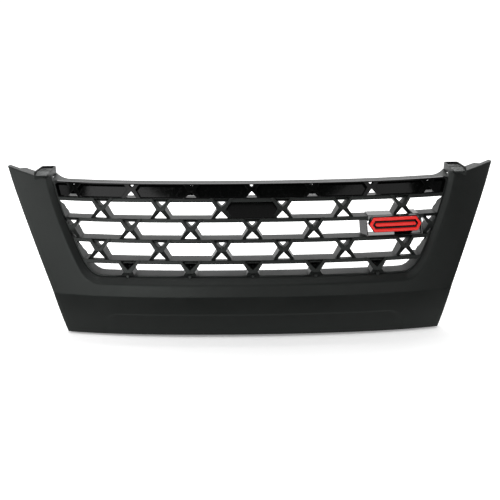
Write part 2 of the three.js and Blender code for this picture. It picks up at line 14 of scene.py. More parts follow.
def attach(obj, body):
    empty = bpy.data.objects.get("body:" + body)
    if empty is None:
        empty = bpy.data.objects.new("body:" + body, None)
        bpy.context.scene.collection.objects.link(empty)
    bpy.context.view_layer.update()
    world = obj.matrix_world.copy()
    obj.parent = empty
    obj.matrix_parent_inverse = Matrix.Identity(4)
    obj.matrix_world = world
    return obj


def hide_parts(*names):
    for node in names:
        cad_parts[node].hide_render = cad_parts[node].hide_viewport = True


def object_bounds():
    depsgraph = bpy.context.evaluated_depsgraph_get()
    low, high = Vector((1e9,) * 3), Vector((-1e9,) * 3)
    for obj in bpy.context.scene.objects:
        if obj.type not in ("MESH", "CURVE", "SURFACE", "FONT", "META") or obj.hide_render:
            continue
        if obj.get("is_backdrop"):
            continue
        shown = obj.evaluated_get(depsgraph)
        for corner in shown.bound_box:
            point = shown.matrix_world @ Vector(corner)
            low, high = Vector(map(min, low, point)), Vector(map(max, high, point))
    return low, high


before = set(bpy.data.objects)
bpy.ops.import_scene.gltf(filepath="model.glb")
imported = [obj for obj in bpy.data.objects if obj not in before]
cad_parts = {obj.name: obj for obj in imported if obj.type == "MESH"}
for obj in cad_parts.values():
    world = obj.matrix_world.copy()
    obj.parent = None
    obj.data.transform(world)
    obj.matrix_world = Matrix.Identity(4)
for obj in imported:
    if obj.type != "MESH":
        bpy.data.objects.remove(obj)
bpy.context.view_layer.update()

MM = 0.001

# ---- Face of the grille ----
BOW_X2 = 1.4565e-4
BOW_X4 = 6.218e-10
LEAN = 0.6236
CREASE_Z = -113
SKIRT_LEAN_TOP = 0.30
SKIRT_LEAN_FOOT = 0.06
SKIRT_HEIGHT = 73
SKIRT_MIDDLE_Z = CREASE_Z - SKIRT_HEIGHT
SEAT_DEPTH = -3

# ---- Surround ----
PROUD = 12
SKIN = 3
WALL = 2.6
LIP_RUN = 10
LIP_RETURN = 9
CREST_RADIUS = 6
EDGE_RADIUS = 2
WING_TIP = (528.8, 111.2)
WING_SHOULDER = (506, 70)
WING_ELBOW = (396.2, CREASE_Z)
WING_FOOT = (368.5, -187.5)
SKIRT_LEVEL = 62
OPENING_TOP = (433.5, 94.3)
CREST = {"corner": (300, -93), "corner_pull": (329.7, -93), "bend": (352.9, -57.8),
         "wing_pull": (412.4, 32.4)}
TOP_RETURN = 38
TIP_CLEAR = 26
SIDE_RETURN = 18
SKIRT_RETURN = 30
RIB = 2.2
RIB_DEPTH = 12
RECESS = {"half_width": 293, "top": -146.5, "radius": 27, "depth": 0.9, "soft": 1.6}
# Distance along half the crest that faces the wing's elbow.
FOLD = 332
# The cross-lines of the sheet are closer together beside the recess's round end.
COLUMN_STEP = {"wide": 7.0, "fine": 2.6, "fine_from": 222, "fine_to": 268}
SKIRT_ROWS = (-113.8, -115, -118, -123, -129, -135, -140, -143.4, -144.6, -145.6, -146.5, -147.4,
              -148.4, -149.6, -153, -159, -165, -171, -177, -182)
SIDE_SCREW_ZS = (-35, 20, 68)
SKIRT_SCREW_XS = (62, 186, 292)
SKIRT_SCREW_Z = -94
SKIRT_RIBS = {"xs": (62, 186, 300), "low": -185, "high": -98}
WING_RIBS = {"zs": (-75, -8, 44), "inner": 354, "inner_slope": 0.5, "outer_slope": 0.603}
TAB = {"inner": 429, "outer": 459, "back": 162, "floor": 101.5, "plate": 104, "top": 108,
       "floor_front": 120, "back_foot": 97.5, "hole": (447, 138, 4.3)}
# Sections of the tab's upright parts, as (depth, height).
TAB_RAMP = ((99, 97), (99.5, 88), (112, 91), (126, 101.5), (126, 104), (122, 104))
TAB_INNER_WALL = ((98, 92), (165, 85.5), (162, 108), (101, 99.5))
TAB_OUTER_WALL = ((100, 94), (162, 97), (162, 108), (106, 105))

# ---- Honeycomb ----
PITCH_X = 124
PITCH_Z = 36.8
ROWS = (2, 1, 0, -1, -2)
CELL_ABOVE = 13.2
CELL_BELOW = 17
WAIST = 9
FOOT_UP = 19
FOOT_DOWN = 21.3
ARM = 8.2
APEX = 3.6
DEPTH = 36
RIM = 2.6
GAP = 0.4
INSERT_TOP_Z = 84
INSERT_TOP_RISE = 2
TOP_WALL = 4
EMBLEM_CROSSING = 2
PANEL = 3
PANEL_RIB = 8.4
PANEL_EDGE = 1.4
PANEL_SEAT = PANEL_RIB + PANEL + 0.6
PANEL_TAB = {"width": 28, "low": 61, "high": 82}
PAD = 5
PAD_R = 5.6
EAR = 2.6
EAR_R = 8.5
BOSS_R = 4.6
SCREW_HOLE_R = 2.4
# How far the V plates stand proud, and how deep they reach into the ribs.
V_PROUD = 2.4
V_ROOT = 6.5
V_FOOT = (6.8, -2.2)
V_ARM = {"outer": 24.4, "inner": 17.8, "top": 20.6, "notch": 10.8}
LEG_RECESS = {"depth": 5.6, "start": 2}
HOLLOW = {"top": 18.3, "low_half": 10.8, "slope": 0.95, "depth": 5.5}
# Distances from a crossing of the points that keep the edge of each foot sharp.
FOOT_SPOTS = (14.2, 17.2, 20.2)
LOBE = {"size": 0.07, "start": 3, "curve": 1.7, "low_z": -60}
WINDOW_DEPTH = {"low": 10, "high": 24}
KNOB = {"below": 8, "radius": 3.3, "proud": 2.2, "reach_x": 300}
WEB = {"half": 12, "front": 20, "back": 22}
TOP_WALL_END_X = 408
GUSSET = {"start": 385, "end": 428.4, "front": 14, "back": 27, "rise": 6}
# Well past every outline, for cutting one to a band.
FAR = 600

# ---- Gloss pieces and emblem ----
BLANK = {"front": 4, "back": 7, "rim_back": 22}
BOX = {"left": 232, "right": 350, "low": -CELL_BELOW + GAP, "high": CELL_ABOVE - GAP, "back": 31,
       "draft": 10, "wall": 1.6}
BOX_PLATE = {"left": 290, "front": 4}
TRIM = {"left": 236, "right": 344, "thick": 1.5}
STUDS = ((304, 4), (332, 4))
STUD = {"radius": 2, "boss": 5.5, "boss_gap": 3.5, "past_seat": 7, "seat_radius": 6}
EMBLEM = {"x": 288.5, "z": 8.5, "length": 108, "height": 25, "stroke": 5.2, "gap": 4.4, "front": -24,
          "thick": 4, "base": 12, "base_grow": 1.5}

# ---- Fasteners ----
INSERT_SCREW = {"length": 14, "radius": 2}
PANEL_SCREW = {"length": 17, "radius": 1.4}
PAD_HOLE_R = 1.8
THREAD = 1.4
HEAD = {"hexagon": 3.9, "socket": 1.5, "low": 1.3, "high": 4.7}
NUT = {"radius": 5.15, "hole": 2.35, "height": 4}
CLIP_PLACES = (-280, -140, 140, 280)
CLIP = {"steel": 0.9, "half_width": 7.6, "edge": 0.3, "edge_scale": 0.992, "foot_rise": 1.5}

# ---- Stage ----
# Lengths here are the frame's metres.
FLOOR_GLOW = {"near": 0.05, "far": 0.85}
FLOOR_HALF = 4.0
WORLD = {"front": 0.02, "wall": 1.1, "ceiling": 0.4}
# Name, place, width and height, watts. All of them face the grille's middle.
LIGHTS = (
    ("key_left", (-1.1, -1.4, 1.75), (1.3, 0.9), 21),
    ("key_right", (1.1, -1.4, 1.75), (1.3, 0.9), 9),
    ("key_middle", (0, -1.6, 1.75), (1.0, 0.8), 2.5),
    ("side_left", (-1.9, -0.3, 1.0), (1.0, 1.2), 9),
    ("side_right", (1.9, -0.3, 1.0), (1.0, 1.2), 1.0),
    ("overhead_left", (-0.7, 0.15, 2.1), (1.2, 1.0), 3.5),
    ("overhead", (0, 0.25, 2.1), (1.2, 1.0), 3),
    ("behind", (0, 1.35, 1.65), (2.0, 0.6), 30))


# ---- Placing ----
def bow(x):
    return BOW_X2 * x * x + BOW_X4 * x ** 4


def face(x, z):
    """Depth of the grille's face: straight above the crease, a slow curve below it."""
    above = max(z, CREASE_Z)
    below = min(z - CREASE_Z, 0)
    curl = (SKIRT_LEAN_TOP - SKIRT_LEAN_FOOT) / (2 * SKIRT_HEIGHT)
    return bow(x) + LEAN * above + SKIRT_LEAN_TOP * below + curl * below * below


SEAT_Y = -face(0, SKIRT_MIDDLE_Z) - SEAT_DEPTH
SEAT_Z = -SKIRT_MIDDLE_Z


def seat(x, y, z):
    """A point of the grille's own layout, in the frame's metres."""
    return Vector((x, y + SEAT_Y, z + SEAT_Z)) * MM


def on_face(x, z, depth):
    return seat(x, face(x, z) + depth, z)


# ---- Outlines ----
def unit(a, b):
    dx, dz = b[0] - a[0], b[1] - a[1]
    size = math.hypot(dx, dz) or 1
    return dx / size, dz / size


def offset_path(path, distance, closed=False):
    """The path moved to the left of its direction of travel."""
    count = len(path)
    moved = []
    for i, here in enumerate(path):
        before = path[i - 1] if i > 0 or closed else None
        after = path[(i + 1) % count] if i + 1 < count or closed else None
        run_in = unit(before, here) if before else unit(here, after)
        run_out = unit(here, after) if after else run_in
        mean = unit((0, 0), (run_in[0] + run_out[0], run_in[1] + run_out[1]))
        reach = distance / (mean[0] * run_out[0] + mean[1] * run_out[1])
        moved.append((here[0] - mean[1] * reach, here[1] + mean[0] * reach))
    return moved


def between(a, b, share):
    """The flat point at some share of the way from a to b."""
    return a[0] + (b[0] - a[0]) * share, a[1] + (b[1] - a[1]) * share


def mirrored(points):
    return [(-x, z) for x, z in reversed(points)]


def quadratic(a, control, b, steps):
    points = []
    for i in range(1, steps + 1):
        t = i / steps
        u = 1 - t
        points.append(tuple(u * u * a[k] + 2 * u * t * control[k] + t * t * b[k] for k in (0, 1)))
    return points


def crest_half(steps=24):
    """Right half of the surround's inner edge, from the middle of the skirt to the wing's top."""
    corner, bend = CREST["corner"], CREST["bend"]
    half = [(0, corner[1]), corner]
    half += quadratic(corner, CREST["corner_pull"], bend, steps)
    return half + quadratic(bend, CREST["wing_pull"], OPENING_TOP, steps)


def along(path, distances):
    """Points of a polyline at the given distances along it."""
    points, i, gone = [], 0, 0.0
    for distance in distances:
        while i + 2 < len(path) and gone + math.dist(path[i], path[i + 1]) < distance:
            gone += math.dist(path[i], path[i + 1])
            i += 1
        share = (distance - gone) / math.dist(path[i], path[i + 1])
        points.append(between(path[i], path[i + 1], share))
    return points


def length_of(path):
    return sum(math.dist(a, b) for a, b in zip(path, path[1:]))


def crest_path(spacing=12):
    half = crest_half()
    total = length_of(half)
    steps = round(total / spacing)
    right = along(half, [total * i / steps for i in range(steps + 1)])
    return mirrored(right[1:]) + right


def at_height(half, z):
    """Where half an outline first reaches a height, and the run of the outline there."""
    i = next(k for k, point in enumerate(half) if k > 0 and point[1] >= z)
    share = (z - half[i - 1][1]) / (half[i][1] - half[i - 1][1])
    return half[i - 1][0] + (half[i][0] - half[i - 1][0]) * share, unit(half[i - 1], half[i])


def lid(reach, top, rise, steps=24):
    """The insert's top line, from right to left."""
    xs = [reach * (1 - 2 * i / steps) for i in range(steps + 1)]
    return [(x, top + rise * (x / reach) ** 2) for x in xs]


def opening_outline(inset, top, rise=0):
    """The opening shrunk by some distance and closed along the top, counter-clockwise."""
    path = offset_path(crest_path(), inset)
    half = [point for point in path if point[0] >= 0]
    reach = at_height(half, top + rise)[0]
    line = [point for point in path if point[1] < top + rise - 3]
    return line + lid(reach, top, rise)


def clip(polygon, region):
    """Part of a convex polygon inside a convex, counter-clockwise region."""
    for a, b in zip(region, region[1:] + region[:1]):
        def side(point):
            return (b[0] - a[0]) * (point[1] - a[1]) - (b[1] - a[1]) * (point[0] - a[0])
        kept = []
        for here, after in zip(polygon, polygon[1:] + polygon[:1]):
            s, t = side(here), side(after)
            if s >= 0:
                kept.append(here)
            if s * t < 0:
                kept.append(between(here, after, s / (s - t)))
        polygon = kept
        if len(polygon) < 3:
            return []
    return tidy_polygon(polygon)


def turn_at(before, here, after):
    run_in, run_out = unit(before, here), unit(here, after)
    return math.atan2(run_in[0] * run_out[1] - run_in[1] * run_out[0],
                      run_in[0] * run_out[0] + run_in[1] * run_out[1])


def tidy_polygon(polygon, least=5):
    """The polygon without stray points that crowd its real corners."""
    polygon = [p for i, p in enumerate(polygon) if math.dist(p, polygon[i - 1]) > 0.05]
    while len(polygon) > 3:
        count = len(polygon)
        crowd = []
        for i, here in enumerate(polygon):
            before, after = polygon[i - 1], polygon[(i + 1) % count]
            if min(math.dist(here, before), math.dist(here, after)) < least:
                crowd.append((abs(turn_at(before, here, after)), i))
        if not crowd or min(crowd)[0] > 0.25:
            break
        polygon.pop(min(crowd)[1])
    return polygon


def area(polygon):
    return sum(a[0] * b[1] - a[1] * b[0] for a, b in zip(polygon, polygon[1:] + polygon[:1])) / 2


class Loop:
    """A convex outline with rounded corners that can be drawn larger or smaller, point for point."""

    def __init__(self, polygon, corner, reach=8, arc_steps=4):
        self.spans = []
        count = len(polygon)
        for i, here in enumerate(polygon):
            before, after = polygon[i - 1], polygon[(i + 1) % count]
            run_in, run_out = unit(before, here), unit(here, after)
            turn = turn_at(before, here, after)
            steps = arc_steps if turn > 0.25 else 0
            room = 0.42 * min(math.dist(before, here), math.dist(here, after))
            radius = min(corner, room / math.tan(turn / 2)) if steps else 0
            self.spans.append((here, run_in, run_out, turn, steps, radius))
        ends = self._arcs(0)
        self.edge_steps = []
        for i in range(count):
            gap = math.dist(ends[i][-1], ends[(i + 1) % count][0])
            self.edge_steps.append(max(1, math.ceil(gap / reach)))

    def _arcs(self, grow):
        arcs = []
        for here, run_in, run_out, turn, steps, corner in self.spans:
            mean = unit((0, 0), (run_in[0] + run_out[0], run_in[1] + run_out[1]))
            out = (mean[1], -mean[0])
            half = math.cos(turn / 2)
            if steps == 0:
                arcs.append([(here[0] + out[0] * grow / half, here[1] + out[1] * grow / half)])
                continue
            radius = max(corner + grow, 0.02)
            back = (radius - grow) / half
            centre = (here[0] - out[0] * back, here[1] - out[1] * back)
            start = math.atan2(-run_in[0], run_in[1])
            arcs.append([(centre[0] + radius * math.cos(start + turn * k / steps),
                          centre[1] + radius * math.sin(start + turn * k / steps))
                         for k in range(steps + 1)])
        return arcs

    def at(self, grow):
        arcs = self._arcs(grow)
        points = []
        for i, arc in enumerate(arcs):
            points += arc
            start, end = arc[-1], arcs[(i + 1) % len(arcs)][0]
            steps = self.edge_steps[i]
            points += [between(start, end, k / steps) for k in range(1, steps)]
        return points


def inside(point, polygon):
    hit = False
    for a, b in zip(polygon, polygon[1:] + polygon[:1]):
        if (a[1] > point[1]) != (b[1] > point[1]):
            if point[0] < (b[0] - a[0]) * (point[1] - a[1]) / (b[1] - a[1]) + a[0]:
                hit = not hit
    return hit


# ---- Mesh building ----
class Build:
    """Vertices in metres and faces by index, gathered for one piece."""

    def __init__(self):
        self.verts = []
        self.faces = []

    def add(self, points):
        start = len(self.verts)
        self.verts += points
        return list(range(start, len(self.verts)))

    def bridge(self, low, high, closed=True):
        count = len(low)
        for i in range(count if closed else count - 1):
            k = (i + 1) % count
            self.faces.append((low[i], low[k], high[k], high[i]))

    def loft(self, rings):
        """Skins rings of points one after the other and closes both ends."""
        rings = [self.add(ring) for ring in rings]
        for low, high in zip(rings, rings[1:]):
            self.bridge(low, high)
        self.faces += [tuple(rings[0]), tuple(reversed(rings[-1]))]

    def fill(self, outer, holes, flat, spare=()):
        """Triangles between one outline and the holes in it, by their flat points."""
        ids = [*outer, *(i for hole in holes for i in hole), *spare]
        points = [Vector(flat[i]) for i in ids]
        edges, start = [], 0
        for ring in (outer, *holes):
            edges += [(start + i, start + (i + 1) % len(ring)) for i in range(len(ring))]
            start += len(ring)
        verts, _, faces, origin, *_ = delaunay_2d_cdt(
            points, edges, [list(range(len(outer)))], 1, 1e-4)
        boxes = [[flat[i] for i in hole] for hole in holes]
        bounds = [(min(p[0] for p in b), max(p[0] for p in b), min(p[1] for p in b),
                   max(p[1] for p in b)) for b in boxes]
        for triangle in faces:
            centre = [sum(verts[i][k] for i in triangle) / 3 for k in (0, 1)]
            if any(x0 < centre[0] < x1 and z0 < centre[1] < z1 and inside(centre, polygon)
                   for polygon, (x0, x1, z0, z1) in zip(boxes, bounds)):
                continue
            self.faces.append(tuple(ids[origin[i][0]] for i in triangle))

    def plate(self, outer, holes, place, front, back, edge=0.8, back_edge=0.4, grid=0, extra=()):
        """A plate with rounded edges. outer and holes are Loops, and a hole can come with its own
        back depth. front and back are depths or functions of a point, and place turns
        (u, w, depth) into a point of the frame."""
        front_at = front if callable(front) else lambda u, w: front
        back_at = back if callable(back) else lambda u, w: back
        turns = [math.radians(a) for a in (0, 30, 60, 90)]
        rows = [(-edge * (1 - math.sin(t)), "front", edge * (1 - math.cos(t))) for t in turns]
        rows += [(0, "back", -back_edge), (-back_edge, "back", 0)]
        flat = {}
        ends = []
        for loop, sign in [(outer, 1), *((hole, -1) for hole in holes)]:
            loop, own = loop if isinstance(loop, tuple) else (loop, None)
            rings = []
            for grow, side, shift in rows:
                points = loop.at(grow * sign)
                depths = [front_at(*p) if side == "front" else back_at(*p) if own is None else own
                          for p in points]
                ids = self.add([place(*p, d + shift) for p, d in zip(points, depths)])
                flat.update(zip(ids, points))
                rings.append(ids)
            for low, high in zip(rings, rings[1:]):
                self.bridge(low, high)
            ends.append((rings[0], rings[-1]))
        for k, depth_at in ((0, front_at), (1, back_at)):
            spots = []
            if k == 0:
                outline, *inner = [[flat[i] for i in pair[0]] for pair in ends]
                spots = [p for p in extra
                         if inside(p, outline) and not any(inside(p, h) for h in inner)]
                spots += grid_points(outline, inner, grid) if grid else []
            spare = self.add([place(u, w, depth_at(u, w)) for u, w in spots])
            flat.update(zip(spare, spots))
            self.fill(ends[0][k], [pair[k] for pair in ends[1:]], flat, spare)
        return self


def grid_points(outer, holes, step):
    """Points of a square grid well inside an outline and clear of its holes."""
    xs = [p[0] for p in outer]
    zs = [p[1] for p in outer]
    edges = [p for ring in (outer, *holes) for p in ring]
    spots = []
    for i in range(int((max(xs) - min(xs)) / step) + 1):
        for k in range(int((max(zs) - min(zs)) / step) + 1):
            spot = (min(xs) + (i + 0.5) * step, min(zs) + (k + 0.5) * step)
            clear = all(math.dist(spot, p) > step * 0.45 for p in edges)
            if clear and inside(spot, outer) and not any(inside(spot, hole) for hole in holes):
                spots.append(spot)
    return spots


def rectangle(x0, z0, x1, z1):
    return [(x0, z0), (x1, z0), (x1, z1), (x0, z1)]


def bar(x0, z0, x1, z1, corner=0.3, reach=8, arc_steps=2):
    """The outline of a plain rectangle: a rib or a thin wall, as a rule."""
    return Loop(rectangle(x0, z0, x1, z1), corner, reach, arc_steps)


def circle(cx, cz, radius, sides=32):
    return [(cx + radius * math.cos(2 * math.pi * i / sides),
             cz + radius * math.sin(2 * math.pi * i / sides)) for i in range(sides)]


def round_loop(cx, cz, radius, sides=32):
    return Loop(circle(cx, cz, radius, sides), corner=0.1)


def in_scene(name, data):
    obj = bpy.data.objects.new(name, data)
    bpy.context.scene.collection.objects.link(obj)
    return obj


def object_of(name, build):
    mesh = bpy.data.meshes.new(name)
    mesh.from_pydata([tuple(v) for v in build.verts], [], build.faces)
    return in_scene(name, mesh), mesh


def piece(name, build, material, node, weighted=True):
    """A finished object of the root body that stands in for one CAD node."""
    obj, mesh = object_of(name, build)
    shape = bmesh.new()
    shape.from_mesh(mesh)
    bmesh.ops.remove_doubles(shape, verts=shape.verts, dist=1e-6)
    bmesh.ops.recalc_face_normals(shape, faces=shape.faces)
    shape.to_mesh(mesh)
    shape.free()
    for polygon in mesh.polygons:
        polygon.use_smooth = True
    mesh.set_sharp_from_angle(angle=math.radians(34))
    if weighted:
        modifier = obj.modifiers.new("even shading", "WEIGHTED_NORMAL")
        modifier.keep_sharp = True
        modifier.weight = 60
    mesh.materials.append(material)
    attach(obj, "root")
    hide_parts(node)


# ---- Camera ----
# Seen from in front and 17 degrees above, a little from the left, at a normal focal length.
CAMERA = {"distance": 1240, "pitch": 16.8702, "yaw": 0.7054, "roll": 0.501, "right": 5.0625,
          "up": 40.355, "lens": 44.45}


def add_camera():
    pitch, yaw, roll = (math.radians(CAMERA[key]) for key in ("pitch", "yaw", "roll"))
    unyaw = Matrix.Rotation(-yaw, 3, "Z")
    forward = unyaw @ Vector((0, math.cos(pitch), -math.sin(pitch)))
    right = unyaw @ Vector((1, 0, 0))
    up = unyaw @ Vector((0, math.sin(pitch), math.cos(pitch)))
    place = -CAMERA["distance"] * forward - CAMERA["right"] * right - CAMERA["up"] * up
    across = right * math.cos(roll) - up * math.sin(roll)
    upward = right * math.sin(roll) + up * math.cos(roll)
    data = bpy.data.cameras.new("camera")
    data.lens = CAMERA["lens"]
    camera = in_scene("camera", data)
    turn = Matrix((across, upward, -forward)).transposed().to_4x4()
    camera.matrix_world = Matrix.Translation(seat(*place)) @ turn
    bpy.context.scene.camera = camera


# ---- Materials ----
SCUFF = 0.05


def nodes_of(name):
    material = bpy.data.materials.new(name)
    material.use_nodes = True
    tree = material.node_tree
    return material, tree, tree.nodes["Principled BSDF"]


def texture_of(tree, kind, scale):
    """A texture node laid out by the object's own coordinates."""
    coordinates = tree.nodes.new("ShaderNodeTexCoord")
    texture = tree.nodes.new(kind)
    texture.inputs["Scale"].default_value = scale
    tree.links.new(coordinates.outputs["Object"], texture.inputs["Vector"])
    return texture


def noise(tree, scale, detail=2.0, roughness=0.5):
    texture = texture_of(tree, "ShaderNodeTexNoise", scale)
    texture.inputs["Detail"].default_value = detail
    texture.inputs["Roughness"].default_value = roughness
    return texture.outputs["Fac"]


def cells(tree, scale):
    return texture_of(tree, "ShaderNodeTexVoronoi", scale).outputs["Distance"]


def combine(tree, operation, a, b):
    node = tree.nodes.new("ShaderNodeMath")
    node.operation = operation
    tree.links.new(a, node.inputs[0])
    tree.links.new(b, node.inputs[1])
    return node.outputs[0]


def span(tree, factor, low, high, start=0.0, end=1.0):
    ramp = tree.nodes.new("ShaderNodeMapRange")
    ramp.inputs["From Min"].default_value = start
    ramp.inputs["From Max"].default_value = end
    ramp.inputs["To Min"].default_value = low
    ramp.inputs["To Max"].default_value = high
    tree.links.new(factor, ramp.inputs["Value"])
    return ramp.outputs["Result"]


def blend_colour(tree, factor, a, b):
    mix = tree.nodes.new("ShaderNodeMix")
    mix.data_type = "RGBA"
    tree.links.new(factor, mix.inputs["Factor"])
    mix.inputs["A"].default_value = (*a, 1)
    mix.inputs["B"].default_value = (*b, 1)
    return mix.outputs["Result"]


def bump(tree, height, strength, distance, below=None):
    node = tree.nodes.new("ShaderNodeBump")
    node.inputs["Strength"].default_value = strength
    node.inputs["Distance"].default_value = distance
    tree.links.new(height, node.inputs["Height"])
    if below:
        tree.links.new(below, node.inputs["Normal"])
    return node.outputs["Normal"]


def grained_plastic(name, dark, light, rough, shine, grain_scale, grain):
    """Moulded black plastic: fine leathery grain, faint cloudiness, a few rubbed patches."""
    material, tree, shader = nodes_of(name)
    shader.inputs["Specular IOR Level"].default_value = shine
    shader.inputs["Specular Tint"].default_value = (0.93, 1, 0.96, 1)
    link = tree.links.new
    cloud = noise(tree, 9, 4, 0.6)
    tint = blend_colour(tree, span(tree, cloud, 0, 1, 0.3, 0.7), dark, light)
    link(tint, shader.inputs["Base Color"])
    rubbed = span(tree, noise(tree, 42, 6, 0.7), 0, SCUFF, 0.52, 0.72)
    plain = span(tree, cloud, rough - 0.04, rough + 0.04, 0.3, 0.7)
    link(combine(tree, "ADD", plain, rubbed), shader.inputs["Roughness"])
    coarse = bump(tree, cells(tree, grain_scale), grain, 0.00025)
    fine = bump(tree, noise(tree, grain_scale * 2.6, 2), grain * 0.6, 0.00012, coarse)
    link(fine, shader.inputs["Normal"])
    return material


def gloss_plastic(name, colour, rough, shine):
    """Piano black: almost a mirror, with faint orange peel and a little dust."""
    material, tree, shader = nodes_of(name)
    shader.inputs["Specular IOR Level"].default_value = shine
    link = tree.links.new
    dust = noise(tree, 160, 8, 0.75)
    link(blend_colour(tree, span(tree, dust, 0, 1, 0.55, 0.8), colour, [c + 0.004 for c in colour]),
         shader.inputs["Base Color"])
    link(span(tree, dust, rough, rough + 0.16, 0.5, 0.85), shader.inputs["Roughness"])
    link(bump(tree, noise(tree, 70, 2), 0.05, 0.0006), shader.inputs["Normal"])
    return material


def red_paint():
    material, tree, shader = nodes_of("red_paint")
    link = tree.links.new
    cloud = noise(tree, 60, 3)
    tint = blend_colour(tree, cloud, (0.92, 0.014, 0.008), (0.80, 0.009, 0.006))
    link(tint, shader.inputs["Base Color"])
    link(span(tree, noise(tree, 220, 5), 0.16, 0.3), shader.inputs["Roughness"])
    shader.inputs["Specular IOR Level"].default_value = 0.2
    shader.inputs["Coat Weight"].default_value = 0.12
    shader.inputs["Coat Roughness"].default_value = 0.1
    link(bump(tree, noise(tree, 300, 2), 0.05, 0.0003), shader.inputs["Normal"])
    return material


def zinc_steel():
    material, tree, shader = nodes_of("zinc_steel")
    link = tree.links.new
    shader.inputs["Metallic"].default_value = 1.0
    spangle = cells(tree, 900)
    tint = blend_colour(tree, spangle, (0.62, 0.62, 0.60), (0.50, 0.49, 0.44))
    link(tint, shader.inputs["Base Color"])
    link(span(tree, noise(tree, 700, 4), 0.25, 0.48), shader.inputs["Roughness"])
    link(bump(tree, noise(tree, 1500, 2), 0.12, 0.00015), shader.inputs["Normal"])
    return material


def floor_paint():
    """Pale paper that glows faintly away from the grille, so that it ends in plain white."""
    material, tree, shader = nodes_of("floor")
    tint = blend_colour(tree, noise(tree, 2, 3), (0.9, 0.9, 0.9), (0.93, 0.93, 0.93))
    tree.links.new(tint, shader.inputs["Base Color"])
    shader.inputs["Roughness"].default_value = 0.9
    coordinates = tree.nodes.new("ShaderNodeTexCoord")
    away = tree.nodes.new("ShaderNodeVectorMath")
    away.operation = "DISTANCE"
    tree.links.new(coordinates.outputs["Object"], away.inputs[0])
    away.inputs[1].default_value = (0, -0.7, 0)
    shader.inputs["Emission Color"].default_value = (1, 1, 1, 1)
    glow = span(tree, away.outputs["Value"], FLOOR_GLOW["near"], FLOOR_GLOW["far"], 0.5, 1.4)
    tree.links.new(glow, shader.inputs["Emission Strength"])
    return material


MATTE = grained_plastic("matte_black_grained", (0.0030, 0.0034, 0.0032), (0.0048, 0.0052, 0.0050),
                        0.40, 0.28, 1500, 0.35)
SATIN = grained_plastic("satin_black", (0.0060, 0.0066, 0.0063), (0.0090, 0.0096, 0.0093),
                        0.38, 0.24, 2200, 0.16)
GLOSS = gloss_plastic("gloss_black", (0.0022, 0.0024, 0.0023), 0.08, 0.09)
GLOSS_BOX = gloss_plastic("gloss_black_box", (0.003, 0.003, 0.0033), 0.08, 0.9)
RED = red_paint()
ZINC = zinc_steel()


# ---- Surround ----
def recess_depth(x, z):
    """The skirt's lower middle is set back a little inside a round-cornered outline."""
    r = RECESS["radius"]
    dx = abs(x) - (RECESS["half_width"] - r)
    dz = z - (RECESS["top"] - r)
    outside = math.hypot(max(dx, 0), max(dz, 0)) + min(max(dx, dz), 0) - r
    share = min(max(0.5 - outside / (2 * RECESS["soft"]), 0), 1)
    return RECESS["depth"] * share * share * (3 - 2 * share)


def lip_rows():
    """Section of the lip as (run inward from the crest, depth), from the hidden edge forward."""
    slope = math.atan2(PROUD, LIP_RUN)
    tangent = CREST_RADIUS * math.tan(slope / 2)
    small = 2.0
    short = small * math.tan((math.pi / 2 - slope) / 2)
    rows = [(LIP_RUN, LIP_RETURN), (LIP_RUN, LIP_RETURN * 0.5), (LIP_RUN, short)]
    for k in (1, 2):
        turn = (math.pi / 2 - slope) * k / 3
        rows.append((LIP_RUN - small * (1 - math.cos(turn)), short - small * math.sin(turn)))
    rows.append((LIP_RUN - short * math.cos(slope), -short * math.sin(slope)))
    rows.append((LIP_RUN * 0.55, -PROUD * 0.45))
    for k in range(7):
        turn = slope * (1 - k / 6)
        sag = CREST_RADIUS * (1 - math.cos(turn))
        rows.append((-tangent + CREST_RADIUS * math.sin(turn), -PROUD + sag))
    rows.append((-6, -PROUD))
    return rows


def outline_half():
    """Outer edge from the wing's inner top corner round to the middle of the skirt."""
    foot = WING_FOOT
    edge = quadratic(foot, (foot[0] / 2, SKIRT_MIDDLE_Z), (SKIRT_LEVEL, SKIRT_MIDDLE_Z), 10)
    return [OPENING_TOP, WING_TIP, WING_SHOULDER, WING_ELBOW, foot, *edge, (0, SKIRT_MIDDLE_Z)]


def column_distances(total):
    """Where the cross-lines start along half the crest."""
    marks = []
    spot = 0.0
    while spot < total - 3:
        marks.append(spot)
        fine = COLUMN_STEP["fine_from"] < spot < COLUMN_STEP["fine_to"]
        spot += COLUMN_STEP["fine" if fine else "wide"]
    marks = [mark for mark in marks if abs(mark - FOLD) > 2.5]
    return sorted([*marks, FOLD, total - EDGE_RADIUS])


def surround_sheet():
    """The visible sheet of the right half, as rows of flat points with depths."""
    half = crest_half()
    total = length_of(half)
    marks = column_distances(total)
    crest_points = along(half, marks)
    dense = along(half, [max(m - 0.5, 0) for m in marks]), along(half, [m + 0.5 for m in marks])
    inset = offset_path(outline_half(), -EDGE_RADIUS)
    tip, shoulder, elbow = inset[1:4]
    side = [elbow, shoulder, tip]
    side_length = length_of(side)
    columns = []
    for mark, point, before, after in zip(marks, crest_points, *dense):
        run = unit(before, after) if mark > 0.5 else (1, 0)
        inward = (-run[1], run[0])
        rows = [(point[0] + inward[0] * n, point[1] + inward[1] * n, d) for n, d in lip_rows()]
        share = max(mark - FOLD, 0) / (total - EDGE_RADIUS - FOLD)
        if mark <= FOLD:
            end = (elbow[0] * mark / FOLD, CREASE_Z)
        else:
            end = along(side, [side_length * share])[0]
        start = rows[-1]
        for k in range(1, 13):
            rows.append((*between(start, end, k / 12), -PROUD))
        columns.append(rows)
    return columns, inset, marks


